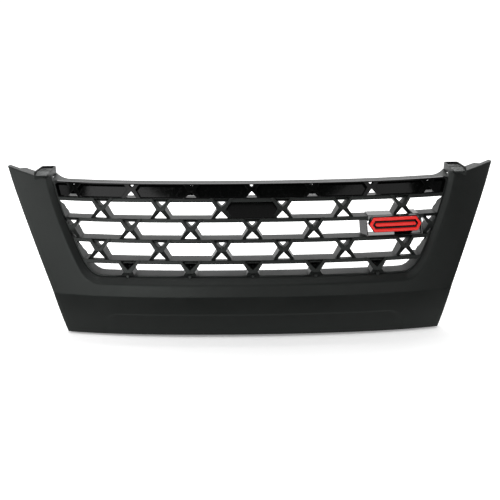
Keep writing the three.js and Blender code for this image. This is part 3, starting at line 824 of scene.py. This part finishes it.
def skirt_rows(top_x, inset):
    """Points below the crease in one cross-line, down to the skirt's rounded edge."""
    elbow, foot = inset[3], inset[4]
    edge = inset[4:]
    rows = []
    for z in SKIRT_ROWS:
        width = elbow[0] + (foot[0] - elbow[0]) * (z - CREASE_Z) / (foot[1] - CREASE_Z)
        rows.append((top_x * width / elbow[0], z, -PROUD))
    x = top_x * foot[0] / elbow[0]
    for a, b in zip(edge, edge[1:]):
        if b[0] <= x <= a[0] + 1e-6:
            share = (a[0] - x) / (a[0] - b[0])
            rows.append((x, a[1] + (b[1] - a[1]) * share, -PROUD))
            break
    return rows


def outward_at(point, inset, outline):
    """Which way the true outline lies from a point of the inset one, and which side it is on."""
    best = None
    for i, (a, b) in enumerate(zip(inset, inset[1:])):
        run = unit(a, b)
        size = math.dist(a, b)
        t = min(max(((point[0] - a[0]) * run[0] + (point[1] - a[1]) * run[1]) / size, 0), 1)
        gap = math.dist(point, between(a, b, t))
        if best is None or gap < best[0] - 1e-6:
            best = (gap, i, t, (-run[1], run[0]))
    _, i, t, normal = best
    corner = i + round(t)
    if 0 < corner < len(inset) - 1 and math.dist(point, inset[corner]) < 0.3:
        miter = [(outline[corner][k] - inset[corner][k]) / EDGE_RADIUS for k in (0, 1)]
        return miter, i
    return normal, i


def return_depth(side, point):
    if side == 0:
        near_tip = point[0] > WING_TIP[0] - TIP_CLEAR
        return SIDE_RETURN - PROUD if near_tip else TOP_RETURN - PROUD
    return (SIDE_RETURN if side < 4 else SKIRT_RETURN) - PROUD


def surround_shell():
    columns, inset, marks = surround_sheet()
    outline = outline_half()
    build = Build()
    ids = []
    for mark, rows in zip(marks, columns):
        if mark <= FOLD:
            rows = rows + skirt_rows(rows[-1][0], inset)
        line = build.add([on_face(x, z, d + recess_depth(x, z)) for x, z, d in rows])
        ids.append((line, rows))
    common = len(columns[0])
    for (left, _), (right, _) in zip(ids, ids[1:]):
        rows = min(len(left), len(right))
        build.bridge(left[:rows], right[:rows], closed=False)
    turn = marks.index(FOLD)
    first = len(lip_rows()) - 3
    border = [(ids[-1][0][k], ids[-1][1][k]) for k in range(first, common)]
    border += [(line[common - 1], rows[common - 1]) for line, rows in reversed(ids[turn:-1])]
    border += [(ids[turn][0][k], ids[turn][1][k]) for k in range(common, len(ids[turn][0]))]
    border += [(line[-1], rows[-1]) for line, rows in reversed(ids[:turn])]
    add_returns(build, border, inset, outline)
    return build


def add_returns(build, border, inset, outline):
    """Rounds the outer edge and carries it back as a return flange."""
    turns = [math.radians(a) for a in (25, 50, 75, 90)]
    lines = [[] for _ in range(len(turns) + 2)]
    for index, (x, z, _) in border:
        miter, side = outward_at((x, z), inset, outline)
        back = return_depth(side, (x, z))
        for k, turn in enumerate(turns):
            out = EDGE_RADIUS * math.sin(turn)
            depth = -PROUD + EDGE_RADIUS * (1 - math.cos(turn))
            lines[k].append(on_face(x + miter[0] * out, z + miter[1] * out, depth))
        edge_x, edge_z = x + miter[0] * EDGE_RADIUS, z + miter[1] * EDGE_RADIUS
        base = face(edge_x, edge_z)
        for k, share in ((len(turns), 0.5), (len(turns) + 1, 1)):
            depth = (EDGE_RADIUS - PROUD) + (back + PROUD - EDGE_RADIUS) * share
            lines[k].append(seat(edge_x, base + depth, edge_z))
    last = [index for index, _ in border]
    for line in lines:
        line_ids = build.add(line)
        build.bridge(last, line_ids, closed=False)
        last = line_ids


def thickened(build, thickness):
    """Both halves of a sheet, welded along the middle and given a thickness inward."""
    obj, mesh = object_of("sheet", build)
    shape = bmesh.new()
    shape.from_mesh(mesh)
    bmesh.ops.remove_doubles(shape, verts=shape.verts, dist=1e-6)
    copy = bmesh.ops.duplicate(shape, geom=shape.verts[:] + shape.edges[:] + shape.faces[:])
    twins = [item for item in copy["geom"] if isinstance(item, bmesh.types.BMVert)]
    for vert in twins:
        vert.co.x = -vert.co.x
    mirror_faces = [item for item in copy["geom"] if isinstance(item, bmesh.types.BMFace)]
    bmesh.ops.reverse_faces(shape, faces=mirror_faces)
    bmesh.ops.remove_doubles(shape, verts=shape.verts, dist=1e-6)
    shape.normal_update()
    facing = sum(f.normal.y * f.calc_area() for f in shape.faces)
    if facing > 0:
        bmesh.ops.reverse_faces(shape, faces=shape.faces[:])
    shape.to_mesh(mesh)
    shape.free()
    solid = obj.modifiers.new("thickness", "SOLIDIFY")
    solid.thickness = thickness * MM
    solid.offset = -1
    solid.use_even_offset = True
    solid.thickness_clamp = 1.0
    graph = bpy.context.evaluated_depsgraph_get()
    result = bpy.data.meshes.new_from_object(obj.evaluated_get(graph))
    bpy.data.objects.remove(obj)
    done = Build()
    done.add([v.co.copy() for v in result.vertices])
    done.faces = [tuple(p.vertices) for p in result.polygons]
    return done


def fastening_points():
    """Screw places round the opening, with the way inward at each."""
    half = crest_half()
    found = []
    for z in SIDE_SCREW_ZS:
        x, run = at_height(half, z)
        found.append(((x, z), (-run[1], run[0])))
    found = [((x, SKIRT_SCREW_Z), (0, 1)) for x in SKIRT_SCREW_XS] + found
    return found + [((-x, z), (-u, w)) for (x, z), (u, w) in found]


def ear_front(at, inward):
    reach = LIP_RUN - WALL / 2
    return (face(at[0] + inward[0] * reach, at[1] + inward[1] * reach) + LIP_RETURN
            + EAR_R * abs(inward[0]) + 3)


def straight(x, z, y):
    return seat(x, y, z)


def add_bosses(build):
    for at, inward in fastening_points():
        loop = round_loop(*at, BOSS_R, 24)
        hole = round_loop(*at, SCREW_HOLE_R, 20)
        start = face(*at) + (2.5 if inward[1] > 0.9 else 0.5) - SKIN - 2
        build.plate(loop, [hole], straight, start, ear_front(at, inward) - GAP, edge=0.1, back_edge=0.5)


def add_ribs(build):
    depth = (SKIN - PROUD - 1.2, SKIN - PROUD + RIB_DEPTH)
    bars = []
    for x in SKIRT_RIBS["xs"]:
        for middle in (x, -x):
            bars.append(bar(middle - RIB / 2, SKIRT_RIBS["low"], middle + RIB / 2, SKIRT_RIBS["high"]))
    for z in WING_RIBS["zs"]:
        inner = WING_RIBS["inner"] + (z - WING_RIBS["zs"][0]) * WING_RIBS["inner_slope"]
        outer = WING_ELBOW[0] + (z - CREASE_Z) * WING_RIBS["outer_slope"] - 1
        for x0, x1 in ((inner, outer), (-outer, -inner)):
            bars.append(bar(x0, z, x1, z + RIB))
    for loop in bars:
        build.plate(loop, [], on_face, *depth, edge=0.1, back_edge=0.6)


def add_tab(build, side):
    """A shallow tray behind the wing's top corner, with one clip hole in its floor."""
    t = TAB

    def level(u, w, depth):
        return seat(side * u, w, t["plate"] - depth)

    def upright(u, w, depth):
        return seat(side * depth, u, w)

    def across(u, w, depth):
        return seat(side * u, depth, w)

    uprights = [(TAB_RAMP, 0.8, 6, t["inner"] + 1, t["outer"] - 1, 0.3),
                (TAB_INNER_WALL, 1.6, 8, t["inner"], t["inner"] + WALL, 0.5),
                (TAB_OUTER_WALL, 1.6, 8, t["outer"] - WALL, t["outer"], 0.5)]
    for section, corner, reach, low, high, edge in uprights:
        build.plate(Loop(section, corner, reach), [], upright, low, high, edge=edge, back_edge=edge)
    floor = bar(t["inner"] + 1, t["floor_front"], t["outer"] - 1, t["back"] - 1, corner=1.5, arc_steps=4)
    build.plate(floor, [round_loop(*t["hole"])], level, 0, t["plate"] - t["floor"], edge=0.5)
    back = bar(t["inner"] + 0.2, t["back_foot"], t["outer"] - 0.2, t["top"], corner=1.4, arc_steps=4)
    build.plate(back, [], across, t["back"] - WALL, t["back"], edge=0.5, back_edge=0.5)


def make_surround():
    build = thickened(surround_shell(), WALL)
    add_ribs(build)
    add_bosses(build)
    add_tab(build, 1)
    add_tab(build, -1)
    piece("surround_moulding", build, MATTE, "surround", weighted=False)


# ---- Honeycomb ----
def crossings(row):
    start = -4 if row % 2 == 0 else -4.5
    places = [start + k for k in range(9 if row % 2 == 0 else 10)]
    return [i * PITCH_X for i in places if not (row == 0 and i == EMBLEM_CROSSING)]


def hex_cell(left, right, z):
    return [(left + WAIST, z), (left + FOOT_DOWN, z - CELL_BELOW), (right - FOOT_DOWN, z - CELL_BELOW),
            (right - WAIST, z), (right - FOOT_UP, z + CELL_ABOVE), (left + FOOT_UP, z + CELL_ABOVE)]


def triangle_up(x, z):
    half = FOOT_DOWN - ARM
    return [(x - half, z - CELL_BELOW), (x + half, z - CELL_BELOW), (x, z - APEX)]


def triangle_down(x, z):
    half = FOOT_UP - ARM
    return [(x, z + APEX), (x + half, z + CELL_ABOVE), (x - half, z + CELL_ABOVE)]


def v_outline(x, z):
    """The raised V of a crossing, whose arms run up over the bar above."""
    notch, top = V_ARM["notch"], V_ARM["top"]
    half = [V_FOOT, (WAIST, 0), (V_ARM["outer"], top), (V_ARM["inner"], top)]
    points = mirrored(half) + half + [(notch, CELL_ABOVE), (0, APEX), (-notch, CELL_ABOVE)]
    return [(x + u, z + w) for u, w in points]


PANEL_LOW = 2 * PITCH_Z - CELL_BELOW
PANEL_HIGH = INSERT_TOP_Z - TOP_WALL


def side_x(z, path):
    for a, b in zip(path, path[1:]):
        if a[0] > 0 and a[1] <= z <= b[1] and b[1] > a[1]:
            return a[0] + (b[0] - a[0]) * (z - a[1]) / (b[1] - a[1])
    return 1e6


def insert_back(rim_path):
    """How far back the honeycomb runs: its end walls deepen in a lobe from the top of each cell to
    its foot."""
    def depth(x, z):
        if z < LOBE["low_z"] or abs(x) < side_x(z, rim_path) - RIM / 2:
            return DEPTH
        for row in ROWS[1:]:
            low, high = row * PITCH_Z - CELL_BELOW, row * PITCH_Z + CELL_ABOVE
            if low < z < high:
                share = (high - z) / (high - low)
                wave = LOBE["size"] * math.sin(4 * math.pi * share)
                lobe = 1 - (1 - share) ** LOBE["curve"] - wave
                return LOBE["start"] + (DEPTH - LOBE["start"]) * min(max(lobe, 0), 1)
        return DEPTH
    return depth


def near_crossing(x, row, spread):
    return any(abs(x - place) < spread for place in crossings(row))


def insert_front(x, z):
    """The lower legs of each crossing fall back towards the bar they stand on, the bar above is
    hollowed between the arms, and the top wall starts behind the gloss panel."""
    if z > PANEL_HIGH - 1 and abs(x) < TOP_WALL_END_X:
        return PANEL_SEAT
    for row in ROWS[1:]:
        drop = row * PITCH_Z - z
        if CELL_ABOVE - 0.8 < -drop < HOLLOW["top"]:
            if near_crossing(x, row, HOLLOW["low_half"] + (-drop - CELL_ABOVE) * HOLLOW["slope"]):
                return HOLLOW["depth"]
        start = LEG_RECESS["start"]
        if start < drop < CELL_BELOW - 0.1:
            if near_crossing(x, row, WAIST + (FOOT_DOWN - WAIST) * drop / CELL_BELOW + 2):
                return LEG_RECESS["depth"] * (drop - start) / (CELL_BELOW - start)
    return 0


def at_crossings(spots):
    """The spots set out from every crossing of the open rows."""
    return [(x + u, row * PITCH_Z + w) for row in ROWS[1:] for x in crossings(row) for u, w in spots]


def foot_points():
    """Points either side of each foot, so that the step down to the bar stays sharp."""
    spots = [(side * u, w - CELL_BELOW) for side in (-1, 1) for u in FOOT_SPOTS for w in (0.5, -0.4)]
    return at_crossings(spots)


def hollow_points():
    """Points either side of the outline of each hollow between the arms of a V."""
    points = []
    widening = (HOLLOW["top"] - CELL_ABOVE) * HOLLOW["slope"]
    for shift in (-0.35, 0.35):
        foot = (HOLLOW["low_half"] + shift, CELL_ABOVE + 0.9)
        head = (HOLLOW["low_half"] + widening + shift, HOLLOW["top"] + shift)
        side = [between(foot, head, k / 3) for k in range(4)]
        top = [(head[0] * k / 4, head[1]) for k in range(-3, 4)]
        points += at_crossings(side + [(-u, w) for u, w in side] + top)
    return points


def insert_holes(region):
    """The cells, the small windows of each crossing and the slot behind the gloss row."""
    holes = []
    for row in ROWS[1:]:
        z = row * PITCH_Z
        places = crossings(row)
        shapes = [(hex_cell(a, b, z), None) for a, b in zip(places, places[1:])]
        shapes += [(triangle_up(x, z), WINDOW_DEPTH["low"]) for x in places]
        shapes += [(triangle_down(x, z), WINDOW_DEPTH["high"]) for x in places]
        for outline, depth in shapes:
            kept = clip(outline, region)
            if len(kept) > 2 and area(kept) > 14:
                loop = Loop(kept, corner=0.7 if depth else 1.0, reach=5.5, arc_steps=3)
                holes.append((loop, depth) if depth else loop)
    slot = clip(rectangle(-FAR, PANEL_LOW, FAR, PANEL_HIGH), region)
    return [*holes, Loop(slot, corner=1.0)]


def add_crossing_fronts(build, region, rim_path):
    """Raised V plates, and a knob and a web on the lowest row's crossings short of its ends."""
    for row in ROWS[1:]:
        for x in crossings(row):
            if abs(x) < side_x(row * PITCH_Z, rim_path) - WAIST:
                outline = clip(v_outline(x, row * PITCH_Z), region)
                plate = Loop(outline, corner=0.9, reach=6)
                build.plate(plate, [], on_face, -V_PROUD, V_ROOT, edge=0.7)
    z = -2 * PITCH_Z
    top = z + CELL_ABOVE + 2
    for x in crossings(-2):
        if abs(x) < KNOB["reach_x"]:
            knob = round_loop(x, z - KNOB["below"], KNOB["radius"], 24)
            build.plate(knob, [], on_face, -KNOB["proud"], 1, edge=1.2)
            web = Loop([(x - WEB["half"], top), (x, z + 1), (x + WEB["half"], top)], corner=0.8, reach=4)
            build.plate(web, [], on_face, WEB["front"], WEB["back"], edge=0.3)


def make_insert():
    region = opening_outline(LIP_RUN + GAP + RIM, PANEL_HIGH)
    outer = opening_outline(LIP_RUN + GAP, INSERT_TOP_Z, INSERT_TOP_RISE)
    rim_path = [p for p in offset_path(crest_path(), LIP_RUN + GAP + RIM) if p[0] > 0]
    build = Build()
    build.plate(Loop(outer, corner=1.5), insert_holes(region), on_face, insert_front,
                insert_back(rim_path), edge=0.7, extra=foot_points() + hollow_points())
    add_crossing_fronts(build, region, rim_path)
    add_panel_tabs(build)
    add_gussets(build)
    add_ears(build)
    piece("honeycomb", build, SATIN, "honeycomb_insert")


def add_panel_tabs(build):
    """Tabs that hang from the top wall and carry the gloss panel's screws."""
    for x, z in panel_screw_places():
        half = PANEL_TAB["width"] / 2
        high = PANEL_TAB["high"]
        tab = bar(x - half, PANEL_TAB["low"], x + half, high, corner=2, arc_steps=4)
        notch = bar(x - 6, z + 1.5, x + 6, high - 2.5, corner=1, reach=4, arc_steps=4)
        build.plate(tab, [notch], on_face, PANEL_SEAT, PANEL_SEAT + PANEL, edge=0.5)
        pad, hole = round_loop(x, z, PAD_R, 28), round_loop(x, z, PAD_HOLE_R, 20)
        start = face(x, z) + PANEL_SEAT + 5
        build.plate(pad, [hole], straight, start, pad_back(x, z), edge=0.1, back_edge=0.5)


def add_gussets(build):
    """At each end the top wall widens backwards and rises towards the tab."""
    front, top = GUSSET["front"], INSERT_TOP_Z + 1.6
    for side in (-1, 1):
        rings = []
        for k in range(11):
            share = k / 10
            x = GUSSET["start"] + (GUSSET["end"] - GUSSET["start"]) * share
            back = DEPTH - 2 + GUSSET["back"] * share ** 2
            end = top + GUSSET["rise"] * share ** 2
            waist = ((front + back) / 2, top + (end - top) * 0.45)
            section = [(front, top - 3), (front, top - 0.5), (front + 0.6, top), waist, (back - 0.7, end),
                       (back, end - 0.6), (back, end - 3.2), (waist[0], waist[1] - 3)]
            rings.append([on_face(side * x, z, d) for d, z in section])
        build.loft(rings)


def add_ears(build):
    """Half-round ears that reach out from the rim to the surround's bosses."""
    reach = LIP_RUN + GAP + RIM / 2
    for at, (u, w) in fastening_points():
        front = ear_front(at, (u, w))
        turns = [math.atan2(w, u) + math.radians(a) for a in range(90, 271, 15)]
        arc = [(at[0] + EAR_R * math.cos(t), at[1] + EAR_R * math.sin(t)) for t in turns]
        ends = [(at[0] + u * reach - w * half, at[1] + w * reach + u * half) for half in (-EAR_R, EAR_R)]
        loop = Loop(arc + ends, corner=0.3)
        hole = round_loop(*at, SCREW_HOLE_R, 20)
        build.plate(loop, [hole], straight, front, front + EAR, edge=0.4)


# ---- Gloss pieces ----
def panel_screw_places():
    return [(i * PITCH_X, 2 * PITCH_Z) for i in (-3, -1, 1, 3)]


def pad_back(x, z):
    return face(x, z) + PANEL_SEAT + PANEL + PAD


def panel_loops(region):
    z = 2 * PITCH_Z
    places = crossings(2)
    pockets = [clip(hex_cell(a, b, z), region) for a, b in zip(places, places[1:])]
    windows = [clip(shape(x, z), region) for x in places for shape in (triangle_up, triangle_down)]
    return [[Loop(p, corner=0.7, arc_steps=3) for p in loops if len(p) > 2 and area(p) > 8]
            for loops in (pockets, windows)]


def make_panel():
    """A gloss plate with the top row's ribs standing on its front."""
    low, inset = PANEL_LOW + GAP, LIP_RUN + 2 * GAP + RIM
    outline = clip(opening_outline(inset, INSERT_TOP_Z, INSERT_TOP_RISE), rectangle(-FAR, low, FAR, FAR))
    region = clip(opening_outline(inset + PANEL_EDGE, INSERT_TOP_Z - PANEL_EDGE),
                  rectangle(-FAR, low + PANEL_EDGE, FAR, FAR))
    pockets, windows = panel_loops(region)
    edge = Loop(outline, corner=0.8)
    build = Build()
    build.plate(edge, [*pockets, *windows], on_face, 0, PANEL_RIB + 1, edge=0.6, back_edge=0.1)
    build.plate(edge, windows, on_face, PANEL_RIB, PANEL_RIB + PANEL, edge=0.2, grid=7)
    piece("upper_panel_gloss", build, GLOSS, "upper_blanking_panel")


def make_centre_blank():
    """A tile that fills the second row's middle cell, with a rim behind it."""
    cell = hex_cell(-PITCH_X / 2, PITCH_X / 2, PITCH_Z)

    def shrunk(distance, reach):
        return Loop(offset_path(cell, distance, closed=True), corner=1.0, reach=reach)

    back = BLANK["back"]
    build = Build()
    build.plate(shrunk(GAP, 6), [], on_face, BLANK["front"], back, edge=0.7, grid=6)
    rim, hollow = shrunk(GAP + 0.1, 8), shrunk(GAP + 2, 8)
    build.plate(rim, [hollow], on_face, back - 1, BLANK["rim_back"], edge=0.1, back_edge=0.5)
    piece("centre_cover", build, GLOSS, "centre_blank")


def stud_seat(x, z):
    return face(x, z) + BOX_PLATE["front"] + PANEL + PAD


def make_emblem_box():
    """A box round the middle row's emblem cell, with a carrier plate in its right half."""
    left, right, low, high, back = (BOX[key] for key in ("left", "right", "low", "high", "back"))
    build = Build()

    def level(u, w, depth):
        return on_face(u, high - depth, w)

    side = [(left, 0), (left + WALL, 0), (left + WALL - BOX["draft"], back), (left - BOX["draft"], back)]
    build.plate(Loop(side, corner=0.6, reach=6, arc_steps=3), [], level, 0, high - low, edge=0.1,
                back_edge=0.1)
    for z in (low, high - BOX["wall"]):
        build.plate(bar(left + 0.5, z, right, z + BOX["wall"]), [], on_face, 0, back, edge=0.5)
    build.plate(bar(right - WALL, low, right, high, corner=0.4), [], on_face, 0, back, edge=0.6)
    plate = bar(BOX_PLATE["left"], low, right - 0.5, high, corner=0.6, reach=6, arc_steps=4)
    front = BOX_PLATE["front"]
    build.plate(plate, [], on_face, front, front + PANEL, edge=0.6, grid=6)
    for x, z in STUDS:
        boss, hole = round_loop(x, z, STUD["seat_radius"], 28), round_loop(x, z, SCREW_HOLE_R, 20)
        build.plate(boss, [hole], straight, face(x, z) + front + 2.6, stud_seat(x, z), edge=0.1)
    piece("emblem_housing", build, GLOSS_BOX, "emblem_box")


def make_bar_trim():
    """A strip on the front of the bar above the emblem, with caps over the bar's top."""
    top = PITCH_Z - CELL_BELOW + GAP
    foot = 2.5 * PITCH_X
    left, right, thick = TRIM["left"], TRIM["right"], TRIM["thick"]
    build = Build()
    strip = bar(left, CELL_ABOVE, right, top + thick, corner=0.7, reach=7, arc_steps=4)
    build.plate(strip, [], on_face, -GAP - thick, -GAP, edge=0.7, back_edge=0.1)
    for x0, x1 in ((left, foot - FOOT_DOWN - 1), (foot + FOOT_DOWN + 1, right)):
        build.plate(bar(x0, top, x1, top + thick, reach=7), [], on_face, -GAP - 1.2, DEPTH, edge=0.4)
    piece("bar_trim_gloss", build, GLOSS_BOX, "bar_trim")


# ---- Emblem ----
def long_hexagon(grow):
    """The emblem's outline, grown or shrunk by a distance."""
    half_length = EMBLEM["length"] / 2 + grow * 1.2
    half_height = EMBLEM["height"] / 2 + grow
    shoulder = half_length - half_height * 0.75
    lower = [(-half_length, 0), (-shoulder, -half_height), (shoulder, -half_height)]
    return [(EMBLEM["x"] + x * side, EMBLEM["z"] + z * side) for side in (1, -1) for x, z in lower]


def make_emblem():
    """A red long-hexagon ring round a red bar, on a gloss base with two studs."""
    front, stroke = EMBLEM["front"], EMBLEM["stroke"]
    back = front + EMBLEM["thick"]
    foot = back + GAP

    def hexagon(grow, corner):
        return Loop(long_hexagon(grow), corner=corner, reach=5)

    base = Build()
    outline = hexagon(EMBLEM["base_grow"], 2.2)
    base.plate(outline, [], on_face, foot, foot + EMBLEM["base"], edge=1.0, grid=5)
    for x, z in STUDS:
        leg = face(x, z) + foot + 8
        boss_end = face(x, z) + BOX_PLATE["front"] - STUD["boss_gap"]
        base.plate(round_loop(x, z, STUD["boss"], 28), [], straight, leg, boss_end, edge=0.2)
        end = stud_seat(x, z) + STUD["past_seat"]
        base.plate(round_loop(x, z, STUD["radius"], 20), [], straight, leg, end, edge=0.2, back_edge=0.5)
    piece("emblem_plinth", base, GLOSS, "emblem_base")
    ring = Build()
    ring.plate(hexagon(0, 2.0), [hexagon(-stroke, 1.4)], on_face, front, back, edge=1.1)
    piece("emblem_red_ring", ring, RED, "emblem_ring")
    middle = Build()
    middle.plate(hexagon(-stroke - EMBLEM["gap"], 1.0), [], on_face, front, back, edge=1.0)
    piece("emblem_red_bar", middle, RED, "emblem_bar")


# ---- Fasteners ----
def turned(build, profile, x, z, y):
    """A turned part along Y from (radius, y) points, with its seat at y."""
    build.loft([[seat(u, y + along_y, w) for u, w in circle(x, z, max(radius, 0.02), 28)]
                for radius, along_y in profile])


def make_screw(name, node, x, z, y, length, radius):
    """A self-tapping screw: ridged shank, washer and hexagon head with a socket."""
    root, crown = radius * 0.72, radius * 0.98
    profile = [(0, -length), (radius * 0.5, -length + 0.8)]
    for k in range(int((length - 4) / THREAD)):
        start = -length + 1.6 + k * THREAD
        profile += [(root, start), (crown, start + THREAD * 0.42), (root, start + THREAD * 0.84)]
    profile += [(radius * 0.75, -1.0), (radius * 0.9, 0), (5.0, 0), (5.2, 0.25), (5.2, 0.9), (4.9, 1.3),
                (3.7, 1.5)]
    build = Build()
    turned(build, profile, x, z, y)
    head = Loop(circle(x, z, HEAD["hexagon"], 6), corner=0.25, reach=5, arc_steps=2)
    socket = Loop(circle(x, z, HEAD["socket"], 4), corner=0.2, reach=5, arc_steps=2)
    build.plate(head, [socket], straight, y + HEAD["low"], y + HEAD["high"], edge=0.1, back_edge=0.5)
    piece(name, build, ZINC, node)


def make_nut(name, node, x, z, y):
    build = Build()
    loop = Loop(circle(x, z, NUT["radius"], 6), corner=0.3, reach=5, arc_steps=2)
    hole = round_loop(x, z, NUT["hole"], 24)
    build.plate(loop, [hole], straight, y, y + NUT["height"], edge=0.4, back_edge=0.5)
    piece(name, build, ZINC, node)


def make_fasteners():
    for i, (at, inward) in enumerate(fastening_points(), 1):
        y = ear_front(at, inward) + EAR + GAP
        make_screw(f"screw_{i}", f"insert_screw_{i}", *at, y, **INSERT_SCREW)
    for i, (x, z) in enumerate(panel_screw_places(), 1):
        y = pad_back(x, z) + GAP
        make_screw(f"short_screw_{i}", f"panel_screw_{i}", x, z, y, **PANEL_SCREW)
    for i, (x, z) in enumerate(STUDS, 1):
        make_nut(f"nut_{i}", f"emblem_nut_{i}", x, z, stud_seat(x, z) + GAP)


def make_clips():
    """Spring-steel clips that straddle the back edge of the skirt's shelf."""
    gap, steel = WALL / 2 + GAP, CLIP["steel"]
    profile = [(-13, -gap), (0.3, -gap), (0.8, -gap + 0.5), (0.8, gap - 0.5), (0.3, gap), (-13, gap),
               (-15, gap + 2.2), (-15, gap + 2.2 + steel), (-12.6, gap + steel), (-6, gap + steel),
               (-4.6, gap + 4.1), (-4, gap + 4.5), (-3.3, gap + 4.1), (0, gap + steel),
               (1.2, gap + steel - 0.2), (1.7, gap + 0.3), (1.7, -gap - 0.3), (1.2, -gap - steel + 0.2),
               (-12.6, -gap - steel), (-15, -gap - 1.6 - steel), (-15, -gap - 1.6)]
    half, small = CLIP["half_width"], CLIP["edge_scale"]
    outer = half + CLIP["edge"]
    for i, x in enumerate(CLIP_PLACES, 1):
        z = SKIRT_MIDDLE_Z + WALL / 2 - CLIP["foot_rise"] * (x / WING_FOOT[0]) ** 2
        y = bow(x) - bow(0) + face(0, SKIRT_MIDDLE_Z) + SKIRT_RETURN - PROUD + GAP
        turn = math.atan(2 * BOW_X2 * x + 4 * BOW_X4 * x ** 3)
        rings = []
        for width, scale in ((-outer, small), (-half, 1), (half, 1), (outer, small)):
            ring = []
            for u, w in profile:
                dx = width * math.cos(turn) - u * math.sin(turn)
                dy = width * math.sin(turn) + u * math.cos(turn)
                ring.append(seat(x + dx, y + dy, z + w * scale))
            rings.append(ring)
        build = Build()
        build.loft(rings)
        piece(f"spring_clip_{i}", build, ZINC, f"skirt_clip_{i}")


# ---- Stage ----
def add_floor():
    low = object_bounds()[0][2]
    corners = rectangle(-FLOOR_HALF, -FLOOR_HALF, FLOOR_HALF, FLOOR_HALF)
    build = Build()
    build.add([Vector((x, y, low - 0.002)) for x, y in corners])
    build.faces.append((0, 1, 2, 3))
    floor, mesh = object_of("floor", build)
    mesh.materials.append(floor_paint())
    floor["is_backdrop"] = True


def add_light(name, place, target, size, power):
    data = bpy.data.lights.new(name, "AREA")
    data.shape = "RECTANGLE"
    data.size, data.size_y = size
    data.energy = power
    light = in_scene(name, data)
    aim = (Vector(target) - Vector(place)).to_track_quat("-Z", "Y")
    light.matrix_world = Matrix.Translation(Vector(place)) @ aim.to_matrix().to_4x4()


def add_world():
    """A white studio: a glowing wall behind, a paler ceiling, and darkness in front."""
    world = bpy.data.worlds.new("studio")
    bpy.context.scene.world = world
    world.use_nodes = True
    tree = world.node_tree
    background = tree.nodes["Background"]
    coordinates = tree.nodes.new("ShaderNodeTexCoord")
    split = tree.nodes.new("ShaderNodeSeparateXYZ")
    tree.links.new(coordinates.outputs["Generated"], split.inputs["Vector"])
    behind = span(tree, split.outputs["Y"], WORLD["front"], 1, -0.2, 0.2)
    high = span(tree, split.outputs["Z"], WORLD["wall"], WORLD["ceiling"], 0.35, 0.6)
    tree.links.new(combine(tree, "MULTIPLY", behind, high), background.inputs["Strength"])
    background.inputs["Color"].default_value = (1, 1, 1, 1)


def add_stage():
    add_floor()
    add_world()
    low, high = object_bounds()
    middle = [(low[k] + high[k]) / 2 for k in range(3)]
    for name, place, size, power in LIGHTS:
        add_light(name, place, middle, size, power)


def main():
    add_camera()
    make_surround()
    make_insert()
    make_panel()
    make_centre_blank()
    make_emblem_box()
    make_bar_trim()
    make_emblem()
    make_fasteners()
    make_clips()
    add_stage()
    bpy.context.scene.view_settings.view_transform = "Standard"


main()
